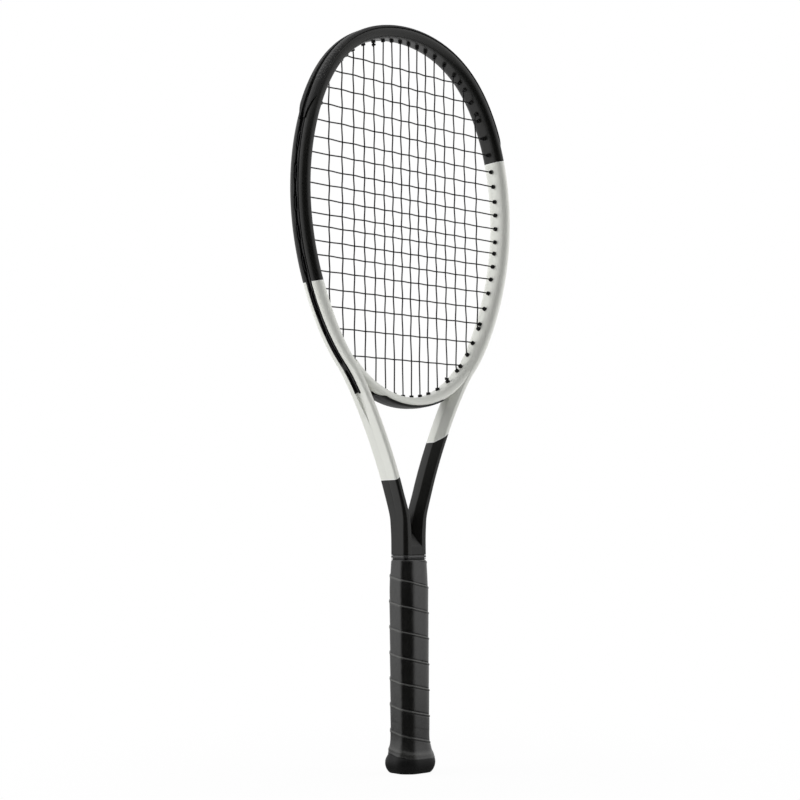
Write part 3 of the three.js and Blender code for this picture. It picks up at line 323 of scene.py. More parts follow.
# ---- meshes
class Skin:
    """Vertices and faces gathered for one mesh, in millimetres."""

    def __init__(self):
        self.points, self.faces, self.count = [], [], 0

    def add(self, points, faces):
        self.points.append(np.asarray(points, float))
        self.faces += [[i + self.count for i in f] for f in faces]
        self.count += len(points)

    def loft(self, rings, caps=True, closed=False):
        rings = np.asarray(rings, float)
        rows, size = rings.shape[:2]
        spans = rows if closed else rows - 1
        faces = [
            [i * size + k, i * size + (k + 1) % size,
             (i + 1) % rows * size + (k + 1) % size, (i + 1) % rows * size + k]
            for i in range(spans)
            for k in range(size)
        ]
        if caps and not closed:
            faces.append(list(range(size))[::-1])
            faces.append([(rows - 1) * size + k for k in range(size)])
        self.add(rings.reshape(-1, 3), faces)
        return self

    def tube(self, path, radius, sides=10, closed=False):
        path = np.asarray(path, float)
        radii = np.broadcast_to(radius, (len(path),))
        if closed:
            along = np.roll(path, -1, 0) - np.roll(path, 1, 0)
        else:
            along = np.gradient(path, axis=0)
        along /= np.linalg.norm(along, axis=1, keepdims=True)
        angles = 2 * np.pi * np.arange(sides) / sides
        up = np.array([0.0, 1.0, 0.0])
        rings = []
        for p, d, r in zip(path, along, radii):
            up = up - d * up.dot(d)
            if np.linalg.norm(up) < 1e-3:
                up = np.cross(d, [1.0, 0.3, 0.0])
            up /= np.linalg.norm(up)
            side = np.cross(d, up)
            rings.append(p + r * (np.outer(np.cos(angles), up) + np.outer(np.sin(angles), side)))
        return self.loft(rings, closed=closed)

    def piece(self, name, material, slot, replaces=(), body=BODY, sharp=38, fields=None):
        mesh = bpy.data.meshes.new(name)
        points = np.concatenate(self.points)
        mesh.from_pydata((points * MM).tolist(), [], self.faces)
        mesh.polygons.foreach_set("use_smooth", [True] * len(mesh.polygons))
        mesh.update()
        mesh.validate()
        for field, values in (fields(points) if fields else {}).items():
            layer = mesh.attributes.new(field, "FLOAT", "POINT")
            layer.data.foreach_set("value", np.asarray(values, np.float32))
        mesh.set_sharp_from_angle(angle=math.radians(sharp))
        obj = bpy.data.objects.new(name, mesh)
        bpy.context.scene.collection.objects.link(obj)
        mesh.materials.append(material)
        outward(mesh)
        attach(obj, body)
        if replaces:
            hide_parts(*replaces)
        return obj


def outward(mesh):
    """Turns the faces of each closed skin outwards."""
    import bmesh

    bm = bmesh.new()
    bm.from_mesh(mesh)
    bmesh.ops.recalc_face_normals(bm, faces=bm.faces)
    bm.to_mesh(mesh)
    bm.free()


# ---- materials
def shader(name, color, roughness, metallic=0.0, specular=0.5):
    material = bpy.data.materials.new(name)
    material.use_nodes = True
    bsdf = material.node_tree.nodes["Principled BSDF"]
    bsdf.inputs["Base Color"].default_value = (*color, 1)
    bsdf.inputs["Roughness"].default_value = roughness
    bsdf.inputs["Metallic"].default_value = metallic
    bsdf.inputs["Specular IOR Level"].default_value = specular
    return material, material.node_tree, bsdf


def link(tree, a, b):
    tree.links.new(a, b)


def node(tree, kind, **settings):
    made = tree.nodes.new(kind)
    for key, value in settings.items():
        setattr(made, key, value)
    return made


def object_place(tree, scale=(1, 1, 1), turn=(0, 0, 0)):
    place = node(tree, "ShaderNodeTexCoord")
    mapping = node(tree, "ShaderNodeMapping", vector_type="TEXTURE")
    mapping.inputs["Rotation"].default_value = turn
    mapping.inputs["Scale"].default_value = tuple(1 / s for s in scale)
    link(tree, place.outputs["Object"], mapping.inputs["Vector"])
    return mapping.outputs["Vector"]


def noise(tree, vector, scale, detail=3.0, rough=0.5):
    made = node(tree, "ShaderNodeTexNoise")
    made.inputs["Scale"].default_value = scale
    made.inputs["Detail"].default_value = detail
    made.inputs["Roughness"].default_value = rough
    link(tree, vector, made.inputs["Vector"])
    return made.outputs["Fac"]


def math_node(tree, operation, a, b=0.0):
    made = node(tree, "ShaderNodeMath", operation=operation)
    for socket, value in zip(made.inputs, (a, b)):
        if isinstance(value, (int, float)):
            socket.default_value = value
        else:
            link(tree, value, socket)
    return made.outputs[0]


def spread(tree, value, low, high):
    """value, from 0 to 1, stretched from low to high."""
    made = node(tree, "ShaderNodeMapRange")
    made.inputs["To Min"].default_value = low
    made.inputs["To Max"].default_value = high
    link(tree, value, made.inputs["Value"])
    return made.outputs["Result"]


def mix_color(tree, factor, a, b):
    made = node(tree, "ShaderNodeMix", data_type="RGBA")
    link(tree, factor, made.inputs["Factor"])
    for socket, value in ((made.inputs[6], a), (made.inputs[7], b)):
        if isinstance(value, tuple):
            socket.default_value = (*value, 1)
        else:
            link(tree, value, socket)
    return made.outputs[2]


def bump(tree, bsdf, height, strength, distance):
    made = node(tree, "ShaderNodeBump")
    made.inputs["Strength"].default_value = strength
    made.inputs["Distance"].default_value = distance
    link(tree, height, made.inputs["Height"])
    link(tree, made.outputs["Normal"], bsdf.inputs["Normal"])


BLACK_PAINT = (0.010, 0.010, 0.009)
PALE_PAINT = (0.77, 0.78, 0.73)
PALE_EDGE_HIGHLIGHT = (0.86, 0.87, 0.84)


def frame_paint():
    material, tree, bsdf = shader("satin_paint", PALE_PAINT, 0.36, specular=0.36)
    band = node(tree, "ShaderNodeAttribute", attribute_name="pale").outputs["Fac"]
    pale = math_node(tree, "GREATER_THAN", band, 0.0)
    # A painted highlight: a lighter line over the first 0.7 mm of the pale paint next to the black,
    # standing for the gloss at the paint edge.
    edge = math_node(tree, "MULTIPLY", pale, math_node(tree, "LESS_THAN", band, 0.7))
    place = object_place(tree)
    speckle = spread(tree, noise(tree, place, 900, 2), 0.92, 1.05)
    black = node(tree, "ShaderNodeVectorMath", operation="SCALE")
    black.inputs[0].default_value = BLACK_PAINT
    link(tree, speckle, black.inputs["Scale"])
    color = mix_color(tree, pale, black.outputs[0], PALE_PAINT)
    color = mix_color(tree, edge, color, PALE_EDGE_HIGHLIGHT)
    link(tree, color, bsdf.inputs["Base Color"])
    link(tree, spread(tree, noise(tree, place, 60, 4), 0.33, 0.42), bsdf.inputs["Roughness"])
    bump(tree, bsdf, noise(tree, place, 500, 2), 0.05, 0.0002)
    return material


def moulded(name, color, roughness, grain=420, depth=0.12, specular=0.5):
    material, tree, bsdf = shader(name, color, roughness, specular=specular)
    place = object_place(tree)
    fine = noise(tree, place, grain, 3)
    link(tree, spread(tree, fine, roughness - 0.06, roughness + 0.08), bsdf.inputs["Roughness"])
    darker, lighter = (tuple(share * c for c in color) for share in (0.8, 1.2))
    tone = mix_color(tree, noise(tree, place, 35, 2), darker, lighter)
    link(tree, tone, bsdf.inputs["Base Color"])
    bump(tree, bsdf, fine, depth, 0.0002)
    return material


def string_finish():
    material, tree, bsdf = shader("string_polyester", (0.008, 0.008, 0.009), 0.32, specular=0.35)
    place = object_place(tree)
    fine = noise(tree, place, 700, 2)
    link(tree, spread(tree, fine, 0.26, 0.42), bsdf.inputs["Roughness"])
    bump(tree, bsdf, fine, 0.08, 0.0001)
    return material


def grip_leather():
    material, tree, bsdf = shader("grip_leather", (0.009, 0.009, 0.008), 0.42)
    place = object_place(tree)
    grain = node(tree, "ShaderNodeTexVoronoi", feature="DISTANCE_TO_EDGE")
    grain.inputs["Scale"].default_value = 900
    link(tree, place, grain.inputs["Vector"])
    pores = math_node(tree, "MINIMUM", grain.outputs["Distance"], 0.25)
    creases = noise(tree, object_place(tree, (1, 1, 0.35), (0, 0.7, 0)), 150, 5, 0.6)
    fine, coarse = math_node(tree, "MULTIPLY", pores, 0.5), math_node(tree, "MULTIPLY", creases, 1.6)
    bump(tree, bsdf, math_node(tree, "ADD", fine, coarse), 0.55, 0.0004)
    tone = mix_color(tree, creases, (0.005, 0.005, 0.0045), (0.013, 0.013, 0.0115))
    # Painted light and shade from the grip's field. Where it is positive, the base colour is lifted
    # towards grey: a painted highlight on the raised edges of the turns, and lighter also along the hem
    # band above the lower edge. Where it is negative, the gloss is weakened: a painted shade in the
    # grooves, and weaker also at the cut lower edge.
    worn = node(tree, "ShaderNodeAttribute", attribute_name="worn").outputs["Fac"]
    tone = mix_color(tree, math_node(tree, "MAXIMUM", worn, 0.0), tone, (0.085, 0.085, 0.08))
    link(tree, tone, bsdf.inputs["Base Color"])
    shade = math_node(tree, "ADD", math_node(tree, "MINIMUM", worn, 0.0), 1.0)
    link(tree, math_node(tree, "MULTIPLY", shade, 0.85), bsdf.inputs["Specular IOR Level"])
    link(tree, spread(tree, creases, 0.34, 0.44), bsdf.inputs["Roughness"])
    return material


def guard_finish():
    """Moulded nylon, dimpled where the bumper's flanks meet the ground most."""
    material, tree, bsdf = shader("guard_nylon", (0.009, 0.009, 0.009), 0.52, specular=0.3)
    place = object_place(tree)
    dots = node(tree, "ShaderNodeTexVoronoi")
    dots.inputs["Scale"].default_value = 520
    dots.inputs["Randomness"].default_value = 0.35
    link(tree, place, dots.inputs["Vector"])
    height = node(tree, "ShaderNodeSeparateXYZ")
    link(tree, place, height.inputs[0])
    off = math_node(tree, "ABSOLUTE", math_node(tree, "SUBTRACT", height.outputs[2], 0.634))
    zone = node(tree, "ShaderNodeMapRange", interpolation_type="SMOOTHSTEP")
    for name, value in (("From Min", 0.024), ("From Max", 0.012), ("To Min", 0.0), ("To Max", 1.0)):
        zone.inputs[name].default_value = value
    link(tree, off, zone.inputs["Value"])
    round_dot = math_node(tree, "LESS_THAN", dots.outputs["Distance"], 0.36)
    marked = math_node(tree, "MULTIPLY", zone.outputs["Result"], round_dot)
    tone = mix_color(tree, marked, (0.009, 0.009, 0.009), (0.07, 0.07, 0.068))
    link(tree, tone, bsdf.inputs["Base Color"])
    fine = noise(tree, place, 420, 3)
    link(tree, spread(tree, fine, 0.46, 0.6), bsdf.inputs["Roughness"])
    bump(tree, bsdf, math_node(tree, "ADD", math_node(tree, "MULTIPLY", fine, 0.3), marked), 0.4, 0.0003)
    return material


def wire_steel():
    material, tree, bsdf = shader("staple_wire", (0.55, 0.56, 0.58), 0.3, metallic=1.0)
    drawn = noise(tree, object_place(tree, (30, 1, 1)), 200, 2)
    link(tree, spread(tree, drawn, 0.22, 0.4), bsdf.inputs["Roughness"])
    return material


PAINT = frame_paint()
GUARD = guard_finish()
STRING = string_finish()
LEATHER = grip_leather()
RUBBER = moulded("collar_rubber", (0.05, 0.05, 0.05), 0.35)
TAPE = moulded("tape_vinyl", (0.02, 0.02, 0.02), 0.4, grain=250)
BUTT = moulded("butt_plastic", (0.007, 0.007, 0.007), 0.52, specular=0.28)
FOAM = moulded("pallet_foam", (0.58, 0.54, 0.42), 0.85, grain=300, depth=0.4)
STEEL = wire_steel()


# ---- frame
def pale_field(points):
    """Millimetres inside the pale part of the frame: below nought the paint is black."""
    x, _, z = points.T
    upper = np.where(x < 0, TOP_LEFT_Z + 0.2 * (x + 108), TOP_RIGHT_Z + 0.22 * (x - 111.5)) - z
    right = THROAT_RIGHT_Z + 0.65 * np.maximum(x - 27.9, 0)
    left = THROAT_LEFT_Z + 0.62 * np.clip(x + 24.1, 0, 8)
    lower = z - np.where(x < 0, left, right)
    return {"pale": np.minimum(upper, lower)}


def spaced(start, end, step):
    count = max(2, int(round(abs(end - start) / step)) + 1)
    return np.linspace(start, end, count)


STEP = 1.6 / HOOP_SPEED


def neck_half(z):
    return shaft_half(NECK_INSET if z < NECK_TOP_Z + SEAM / 2 else 0)


def frame_shell():
    right = list(spaced(0, frame_at_height(NECK_TOP_Z + SEAM), STEP))
    rings = [ring_at(frame_point, u, rounded(mirrored(frame_half(u)))) for u in right]
    for z in (NECK_TOP_Z, 150, 90, LEG_END_Z):
        u = frame_at_height(z)
        rings.append(ring_at(frame_point, u, rounded(mirrored(neck_half(z)))))
    left = [r * [-1, 1, 1] for r in rings[:0:-1]]
    skin = Skin().loft(left + rings)
    web(skin)
    return skin.piece("frame_shell", PAINT, "frame_paint", ["frame_hairpin"], fields=pale_field)


def web(skin):
    """Joins the legs below the V, whose floor rises from the faces to the middle."""
    face = SHAFT_HALF_DEPTH - WEB_SINK
    half = [
        [WEB_TOP_Z, ARM_INNER_FLAT / 2, 1.5],
        [WEB_EDGE_Z, face, 0.8],
        [NECK_TOP_Z + SEAM, face, 0.1],
        [NECK_TOP_Z, face - NECK_INSET, 0.1],
        [LEG_END_Z, face - NECK_INSET, 0.1],
    ]
    outline = rounded(mirrored(half))
    reach = ROOT_X - 3.3
    rings = [[[x, y, z] for z, y in outline] for x in np.linspace(-reach, reach, 9)]
    skin.loft(rings)


def bridge_shell():
    reach = ARM_ANGLE + 0.02
    half = HOOP_HALF.copy()
    half[:, 0] *= np.where(half[:, 0] > 0, BRIDGE_OUT / HOOP_OUT, 1)
    half[0, 0] = CHANNEL_FLOOR - BRIDGE_SINK
    rings = []
    for u in spaced(reach, 2 * math.pi - reach, STEP):
        sunk = ease(0.35, 0.05, min(u - reach, 2 * math.pi - reach - u))
        section = rounded(mirrored(half)) * [1 - 0.02 * sunk, 1 - 0.035 * sunk]
        rings.append(ring_at(hoop_point, u, section))
    skin = Skin().loft(rings)
    return skin.piece("bridge_shell", PAINT, "frame_paint", ["throat_bridge"], fields=pale_field)


# ---- holes and grommets
BARREL_END = -HOOP_OUT - BARREL_PROUD
STRIP_BOTTOM = CHANNEL_FLOOR + SEAM
STRIP_FLOOR = STRIP_BOTTOM + STRIP_BASE
LIP_TOP = HOOP_OUT + STRIP_PROUD
LANE_HEIGHT = STRIP_FLOOR + STRING_DIAMETER / 2 + 0.35
LANE = STRIP_WIDTH / 2 - STRIP_LIP - STRING_DIAMETER / 2 - SEAM
MOUTH_RISE = 0.3
WIDEST = 0.45 * math.pi
INNER_HALF_WIDTH = HOOP_HALF_WIDTH - HOOP_OUT
INNER_TOP = HOOP_TOP_Z - HOOP_OUT
INNER_HEIGHT = 2 * (HOOP_HALF_HEIGHT - HOOP_OUT)
MAIN_X = INNER_HALF_WIDTH * np.cumsum(MAIN_GAPS)[:-1] / sum(MAIN_GAPS)
CROSS_Z = INNER_TOP - INNER_HEIGHT * np.cumsum(CROSS_GAPS)[:-1] / sum(CROSS_GAPS)
UP, DOWN, RIGHT = np.array([0, 0, 1.0]), np.array([0, 0, -1.0]), np.array([1.0, 0, 0])
FLIP = np.array([-1.0, 1, 1])


def inside(u):
    return offset(hoop_point, u, BARREL_END, 0)


def make_hole(u, toward, bridge):
    start = inside(u)
    curve = hoop_point if bridge else frame_point
    lean = toward * (BRIDGE_LEAN if bridge else AXIS_LEAN)
    sink = BRIDGE_SINK if bridge else 0

    def out_at(place):
        return offset(curve, place, 1, 0) - offset(curve, place, 0, 0)

    def axis_at(place):
        axis = out_at(place) + lean
        return axis / np.linalg.norm(axis)

    def miss(place):
        p, axis = offset(curve, place, STRIP_FLOOR - sink, 0) - start, axis_at(place)
        return p[0] * axis[2] - p[2] * axis[0]

    place = solve(miss, u - 0.25, u + 0.25)
    return {
        "start": start, "axis": axis_at(place), "place": place, "out": out_at(place),
        "curve": curve, "bridge": bridge, "end": offset(curve, place, STRIP_FLOOR - sink, 0),
        "lane": LANE_HEIGHT - sink,
    }


def left_hole(h):
    flipped = {k: h[k] * FLIP for k in ("start", "axis", "out", "end")}
    return {**h, **flipped, "place": -h["place"]}


top_holes = [make_hole(solve(lambda u: inside(u)[0] - x, 0, WIDEST), UP, False) for x in MAIN_X]
bottom_holes = [
    make_hole(solve(lambda u: inside(u)[0] - x, math.pi, WIDEST), DOWN, x < BRIDGE_STRIP_HALF)
    for x in MAIN_X
]
side_holes = [make_hole(solve(lambda u: inside(u)[2] - z, 0, math.pi), RIGHT, False) for z in CROSS_Z]
right_holes = top_holes + bottom_holes + side_holes
all_holes = right_holes + [left_hole(h) for h in right_holes]
BUMPER_END = frame_at_height(BUMPER_END_Z)
STRIP_STOP = frame_at_height(STRIP_END_Z)
BRIDGE_END = solve(lambda u: hoop_point(u)[0] - BRIDGE_STRIP_HALF, math.pi, WIDEST)


def add_barrel(skin, h, sides=14):
    """A grommet barrel with a rounded inner end and an open bore."""
    axis = h["axis"]
    side = np.array([0, 1.0, 0])
    third = np.cross(axis, side)
    length = np.dot(h["end"] - h["start"], axis) - 0.2
    profile = [
        (BORE_RADIUS, length), (BORE_RADIUS, 0.3), (BORE_RADIUS + 0.15, 0.02),
        (BARREL_RADIUS - 0.2, 0.0), (BARREL_RADIUS, 0.28), (BARREL_RADIUS, length),
    ]
    angles = 2 * np.pi * np.arange(sides) / sides
    rings = [
        [h["start"] + axis * t + r * (math.cos(a) * side + math.sin(a) * third) for a in angles]
        for r, t in profile
    ]
    skin.loft(rings, closed=True)


OUTER = HOOP_HALF[1:6]


def surface_at(y):
    return np.interp(y, OUTER[:, 1], OUTER[:, 0])


def guard_section(reach, thickness=BUMPER_THICKNESS):
    """Half of the bumper guard, whose flanges lie on the hoop out to the given reach."""
    ys = np.linspace(0.55 * reach, reach, 6)
    return np.array([
        [STRIP_BOTTOM, STRIP_WIDTH / 2, 0.2],
        [HOOP_OUT + GUARD_GAP, STRIP_WIDTH / 2, 0.2],
        *[[surface_at(y) + GUARD_GAP, y, 0.4] for y in ys],
        *[[surface_at(y) + GUARD_GAP + thickness, y + 0.15, 0.35] for y in ys[::-1]],
        [HOOP_OUT + GUARD_GAP + thickness, STRIP_WIDTH / 2 - STRIP_LIP, 0.35],
        [STRIP_FLOOR, STRIP_WIDTH / 2 - STRIP_LIP, 0.3],
    ])


def bridge_section(reach, thickness=BUMPER_THICKNESS):
    """Half of the bridge's strip, which covers the loops with one smooth skin."""
    ys = np.linspace(0.55 * reach, reach, 6)
    share = BRIDGE_OUT / HOOP_OUT
    return np.array([
        [CHANNEL_FLOOR - BRIDGE_SINK + SEAM, STRIP_WIDTH / 2, 0.2],
        [BRIDGE_OUT + BRIDGE_GAP, STRIP_WIDTH / 2, 0.2],
        *[[surface_at(y) * share + BRIDGE_GAP, y, 0.4] for y in ys],
        *[[surface_at(y) * share + BRIDGE_GAP + thickness, y + 0.15, 0.35] for y in ys[::-1]],
        [BRIDGE_OUT + BRIDGE_GAP + thickness + 0.15, 2.4, 0.6],
        [BRIDGE_OUT + BRIDGE_GAP + thickness + 0.3, 0.6, 0.3],
    ])


def bumper():
    skin = Skin()
    rings = []
    for u in spaced(-BUMPER_END, BUMPER_END, STEP):
        widen = ease(0, BUMPER_TAIL, BUMPER_END - abs(u))
        reach = STRIP_WIDTH / 2 + 0.7 + widen * (BUMPER_FLANGE - STRIP_WIDTH / 2 - 0.7)
        rings.append(ring_at(frame_point, u, rounded(mirrored(guard_section(reach)), 3)))
    skin.loft(rings)
    for h in all_holes:
        if abs(h["place"]) < BUMPER_END and not h["bridge"]:
            add_barrel(skin, h)
    return skin.piece("bumper_cover", GUARD, "guard_plastic", ["bumper_guard"])


def lip_wave(u, quiet):
    """How much a lip swells at a place, near the middles of the stretches with no loop."""
    gaps = [math.exp(-(((abs(u) - q) * HOOP_SPEED / WAVE_LENGTH) ** 4)) for q in quiet]
    z = frame_point(u)[1]
    closed = CLOSED_BULGE * math.exp(-(((z - CLOSED_Z) / CLOSED_HALF) ** 6))
    return max(WAVE_BULGE * max(gaps, default=0), closed)


def strip_section(swell):
    inner = STRIP_WIDTH / 2 - STRIP_LIP - swell
    return np.array([
        [STRIP_BOTTOM, STRIP_WIDTH / 2, 0.2],
        [LIP_TOP, STRIP_WIDTH / 2, 0.35],
        [LIP_TOP, inner, 0.35],
        [STRIP_FLOOR, inner, 0.3],
    ])


def side_strip(side, name, node_name):
    """The crosses loop from one hole to the next at every second gap, which a side starts with
    or leaves out; the lips swell at the others."""
    skipped = 0 if side < 0 else 1
    places = [h["place"] for h in side_holes]
    quiet = [
        (a + b) / 2
        for j, (a, b) in enumerate(zip(places, places[1:]))
        if j % 2 == skipped and a > BUMPER_END + 0.05
    ]
    rings = [
        ring_at(frame_point, side * u, rounded(mirrored(strip_section(lip_wave(u, quiet)))))
        for u in spaced(BUMPER_END + 2 * SEAM / HOOP_SPEED, STRIP_STOP, STEP)
    ]
    skin = Skin().loft(rings)
    for h in all_holes:
        if not h["bridge"] and side * h["place"] > BUMPER_END:
            add_barrel(skin, h)
    return skin.piece(name, GUARD, "guard_plastic", [node_name])


def bridge_strip():
    tip = STRIP_WIDTH / 2 + 2
    half = math.pi - BRIDGE_END
    rings = []
    for u in spaced(BRIDGE_END, 2 * math.pi - BRIDGE_END, STEP):
        widen = ease(half, 0.82 * half, abs(u - math.pi))
        section = bridge_section(tip + widen * (BRIDGE_FLANGE - tip))
        rings.append(ring_at(hoop_point, u, rounded(mirrored(section), 3)))
    skin = Skin().loft(rings)
    for h in all_holes:
        if h["bridge"]:
            add_barrel(skin, h)
    return skin.piece("bridge_cover", GUARD, "guard_plastic", ["grommet_strip_bridge"])


# ---- strings
def mouth(h):
    return h["end"] + h["out"] * MOUTH_RISE


def lane_turn(h, toward, lane, shift, share):
    return offset(h["curve"], h["place"] + toward * shift / HOOP_SPEED, h["lane"], lane * share)


def lane_run(h, target, lane):
    toward = np.sign(target - h["place"])
    points = [mouth(h), lane_turn(h, toward, lane, 1.2, 0.7), lane_turn(h, toward, lane, 3.4, 1)]
    pieces = int(abs(target - h["place"]) * HOOP_SPEED // 6)
    for i in range(1, pieces + 1):
        place = h["place"] + (target - h["place"]) * i / (pieces + 1)
        if abs(place - h["place"]) * HOOP_SPEED > 4.5 and abs(place - target) * HOOP_SPEED > 4.5:
            points.append(offset(h["curve"], place, h["lane"], lane))
    return points


def lane_loop(start, end, lane):
    back = np.sign(start["place"] - end["place"])
    return lane_run(start, end["place"], lane) + [
        lane_turn(end, back, lane, 3.4, 1), lane_turn(end, back, lane, 1.2, 0.7), mouth(end),
    ]


def lane_tail(h, target, lane):
    return lane_run(h, target, lane) + [offset(h["curve"], target, LANE_HEIGHT, lane)]


def across(holes):
    return [left_hole(h) for h in holes[::-1]] + holes


main_tops, main_bottoms = across(top_holes), across(bottom_holes)
cross_lefts = [left_hole(h) for h in side_holes]
WAVE_STEPS = 6


def meets(i, j):
    x, z = main_tops[i]["start"][0], side_holes[j]["start"][2]
    in_height = main_bottoms[i]["start"][2] + 1.5 < z < main_tops[i]["start"][2] - 1.5
    return in_height and abs(x) < side_holes[j]["start"][0] - 1.5


def woven(start, crossings, end):
    """A strand from one hole to another that passes each crossing at its own depth."""
    stops = [start, *crossings, end]
    points = [start]
    for a, b in zip(stops, stops[1:]):
        for k in range(1, WAVE_STEPS + 1):
            t = k / WAVE_STEPS
            p = a + (b - a) * t
            p[1] = a[1] + (b[1] - a[1]) * (1 - math.cos(math.pi * t)) / 2
            points.append(p)
    return points


def main_strand(i):
    x = main_tops[i]["start"][0]
    met = [j for j in range(len(CROSS_Z)) if meets(i, j)]
    crossings = [np.array([x, MAIN_WEAVE * (-1) ** (i + j + 1), side_holes[j]["start"][2]]) for j in met]
    return woven(main_tops[i]["start"], crossings, main_bottoms[i]["start"])


def cross_strand(j):
    z = side_holes[j]["start"][2]
    met = [i for i in range(len(main_tops)) if meets(i, j)]
    crossings = [np.array([main_tops[i]["start"][0], CROSS_WEAVE * (-1) ** (i + j), z]) for i in met]
    return woven(cross_lefts[j]["start"], crossings, side_holes[j]["start"])


def mains_string():
    lane = -LANE
    points = lane_tail(main_tops[0], cross_lefts[TIE_CROSS]["place"], lane)[::-1]
    for i in range(len(main_tops)):
        down = i % 2 == 0
        points += main_strand(i)[:: 1 if down else -1]
        ends = main_bottoms if down else main_tops
        if i + 1 < len(main_tops):
            points += lane_loop(ends[i], ends[i + 1], lane)
    points += lane_tail(main_tops[-1], side_holes[TIE_CROSS]["place"], lane)
    skin = Skin().tube(points, STRING_DIAMETER / 2, 8)
    return skin.piece("mains", STRING, "string", ["string_mains"], sharp=60)


def crosses_string():
    tie_left = left_hole(top_holes[TIE_MAIN])
    points = lane_tail(cross_lefts[0], tie_left["place"], LANE)[::-1]
    for j in range(len(CROSS_Z)):
        rightward = j % 2 == 0
        points += cross_strand(j)[:: 1 if rightward else -1]
        ends = side_holes if rightward else cross_lefts
        if j + 1 < len(CROSS_Z):
            points += lane_loop(ends[j], ends[j + 1], LANE)
    points += lane_tail(side_holes[-1], bottom_holes[TIE_MAIN + 1]["place"], LANE)
    skin = Skin().tube(points, STRING_DIAMETER / 2, 8)
    return skin.piece("crosses", STRING, "string", ["string_crosses"], sharp=60)


def tie_off(h, inward, name, node_name):
    """Two turns of string round a strand, with a short tail."""
    wind = STRING_DIAMETER / 2 + 0.75
    side = np.array([0, 1.0, 0])
    third = np.cross(inward, side)
    middle = h["start"] + inward * 1.6
    path = []
    for k in range(41):
        a = 4 * math.pi * k / 40
        around = math.cos(a) * side + math.sin(a) * third
        path.append(middle + inward * (k / 40 - 0.5) * 1.3 + wind * around)
    path.append(path[-1] + third * 0.9 + inward * 0.5)
    skin = Skin().tube(path, STRING_DIAMETER / 2 - 0.08, 8)
    return skin.piece(name, STRING, "string", [node_name], sharp=60)


# ---- handle
def octagon(half_x, half_y, flat_x, flat_y, radius):
    upper = [(half_x, flat_y / 2), (flat_x / 2, half_y), (-flat_x / 2, half_y), (-half_x, flat_y / 2)]
    points = upper + [(x, -y) for x, y in upper[::-1]]
    return np.array([(x, y, radius) for x, y in points])


def handle_octagon(grow, radius=1.8):
    """The handle's outline; where it flares it grows a little more across than through, and softer."""
    more = CORNER_GROWTH * grow
    flare = max(grow, 0)
    outline = octagon(
        GRIP_WIDTH / 2 + grow + 0.2 * flare, GRIP_DEPTH / 2 + grow - 0.22 * flare,
        GRIP_FLAT_WIDTH + more + 0.4 * flare, GRIP_FLAT_DEPTH + more - 0.2 * flare, radius + 0.6 * flare,
    )
    # the corners of the wide faces are the softest
    outline[[1, 2, 5, 6], 2] += 2.2
    return outline


def neck_octagon(grow, radius=1.4):
    more = CORNER_GROWTH * grow - NECK_INSET
    half_x, half_y = SHAFT_HALF_WIDTH - NECK_INSET + grow, SHAFT_HALF_DEPTH - NECK_INSET + grow
    return octagon(half_x, half_y, SHAFT_FLAT_WIDTH + more, SHAFT_FLAT_DEPTH + more, radius)


def dense(outline, steps=6, per_flat=5):
    """An octagon with rounded corners and points along its flats."""
    corners = rounded(outline, steps)
    points = []
    for k, p in enumerate(corners):
        points.append(p)
        if k % steps == steps - 1:
            q = corners[(k + 1) % len(corners)]
            points += [p + (q - p) * i / (per_flat + 1) for i in range(1, per_flat + 1)]
    return np.array(points)


BULB_Z = [0, 0.4, 1.5, 3.7, 6, 8, 10, 12, 13.5, 15, 17, 20, 24]
BULB_GROW = [0.9, 1.6, 2.7, 3.95, 4.75, 5.0, 4.95, 4.6, 3.9, 3.0, 1.8, 0.8, -0.1]
FLARE_Z = [9, 11, 12.5, 14, 15.5, 17, 19, 22, 25, 28, 32]
FLARE_GROW = [5.0, 4.95, 4.75, 4.0, 3.2, 2.45, 1.95, 1.3, 0.65, 0.2, 0]
EDGE_SHARE = [-0.215, -0.09, 0, 0.1, 0.2, 0.45, 0.62, 0.785]
EDGE_Z = [17.2, 14.9, 12.8, 12.4, 12.3, 12.6, 14.6, 17.2]


def smoothed(z, heights, values, reach=1.2):
    reach = min(reach, z)
    return float(np.interp(z + np.linspace(-reach, reach, 9), heights, values).mean())


def bulb_grow(z):
    """How far the butt cap stands outside the handle's straight octagon."""
    return smoothed(z, BULB_Z, BULB_GROW)


def grip_grow(z):
    """How far the wound grip stands outside its straight octagon."""
    if z < TAPER_START_Z:
        return smoothed(z, FLARE_Z, FLARE_GROW)
    return -GRIP_TOP_SHRINK * ((z - TAPER_START_Z) / (GRIP_TOP_Z - TAPER_START_Z)) ** 1.2


def grip_inside(z):
    return bulb_grow(z) + 0.1 if z < BULB_TOP_Z + 0.3 else -GRIP_THICKNESS - 0.2


def lap(z, share):
    """Each turn begins with a raised edge between two narrow grooves, then sinks towards the next;
    the second value is positive on the raised edge, where it paints a highlight, and negative in the
    grooves, where it paints shade."""
    phase = (GRIP_SEAM_Z - z) / GRIP_PITCH - share
    f = phase - np.floor(phase)
    wound = np.where(phase > -0.999, 1.0, 0.0) * np.where(phase > 5.6, 0.6, 1.0)
    rise = LAP_HEIGHT * ease(0, 0.02, f) * (1 - f) ** 0.8
    wide = np.where((share < -0.07) | (share > 0.5), 0.045, 0.024)
    ridge = np.exp(-(((f - 0.045) / wide) ** 2)) * ease(0, 0.02, f)
    groove = np.exp(-((np.minimum(f, 1 - f) / 0.016) ** 2))
    second = np.exp(-(((f - 0.1) / 0.016) ** 2)) * np.where(wide < 0.03, 1.0, 0.0)
    groove *= np.where(wide > 0.03, 0.4, 1.0)
    height = rise + 0.4 * ridge - 0.4 * groove - 0.35 * second
    tint = ridge - 0.9 * groove - 0.8 * second
    return wound * height, wound * tint


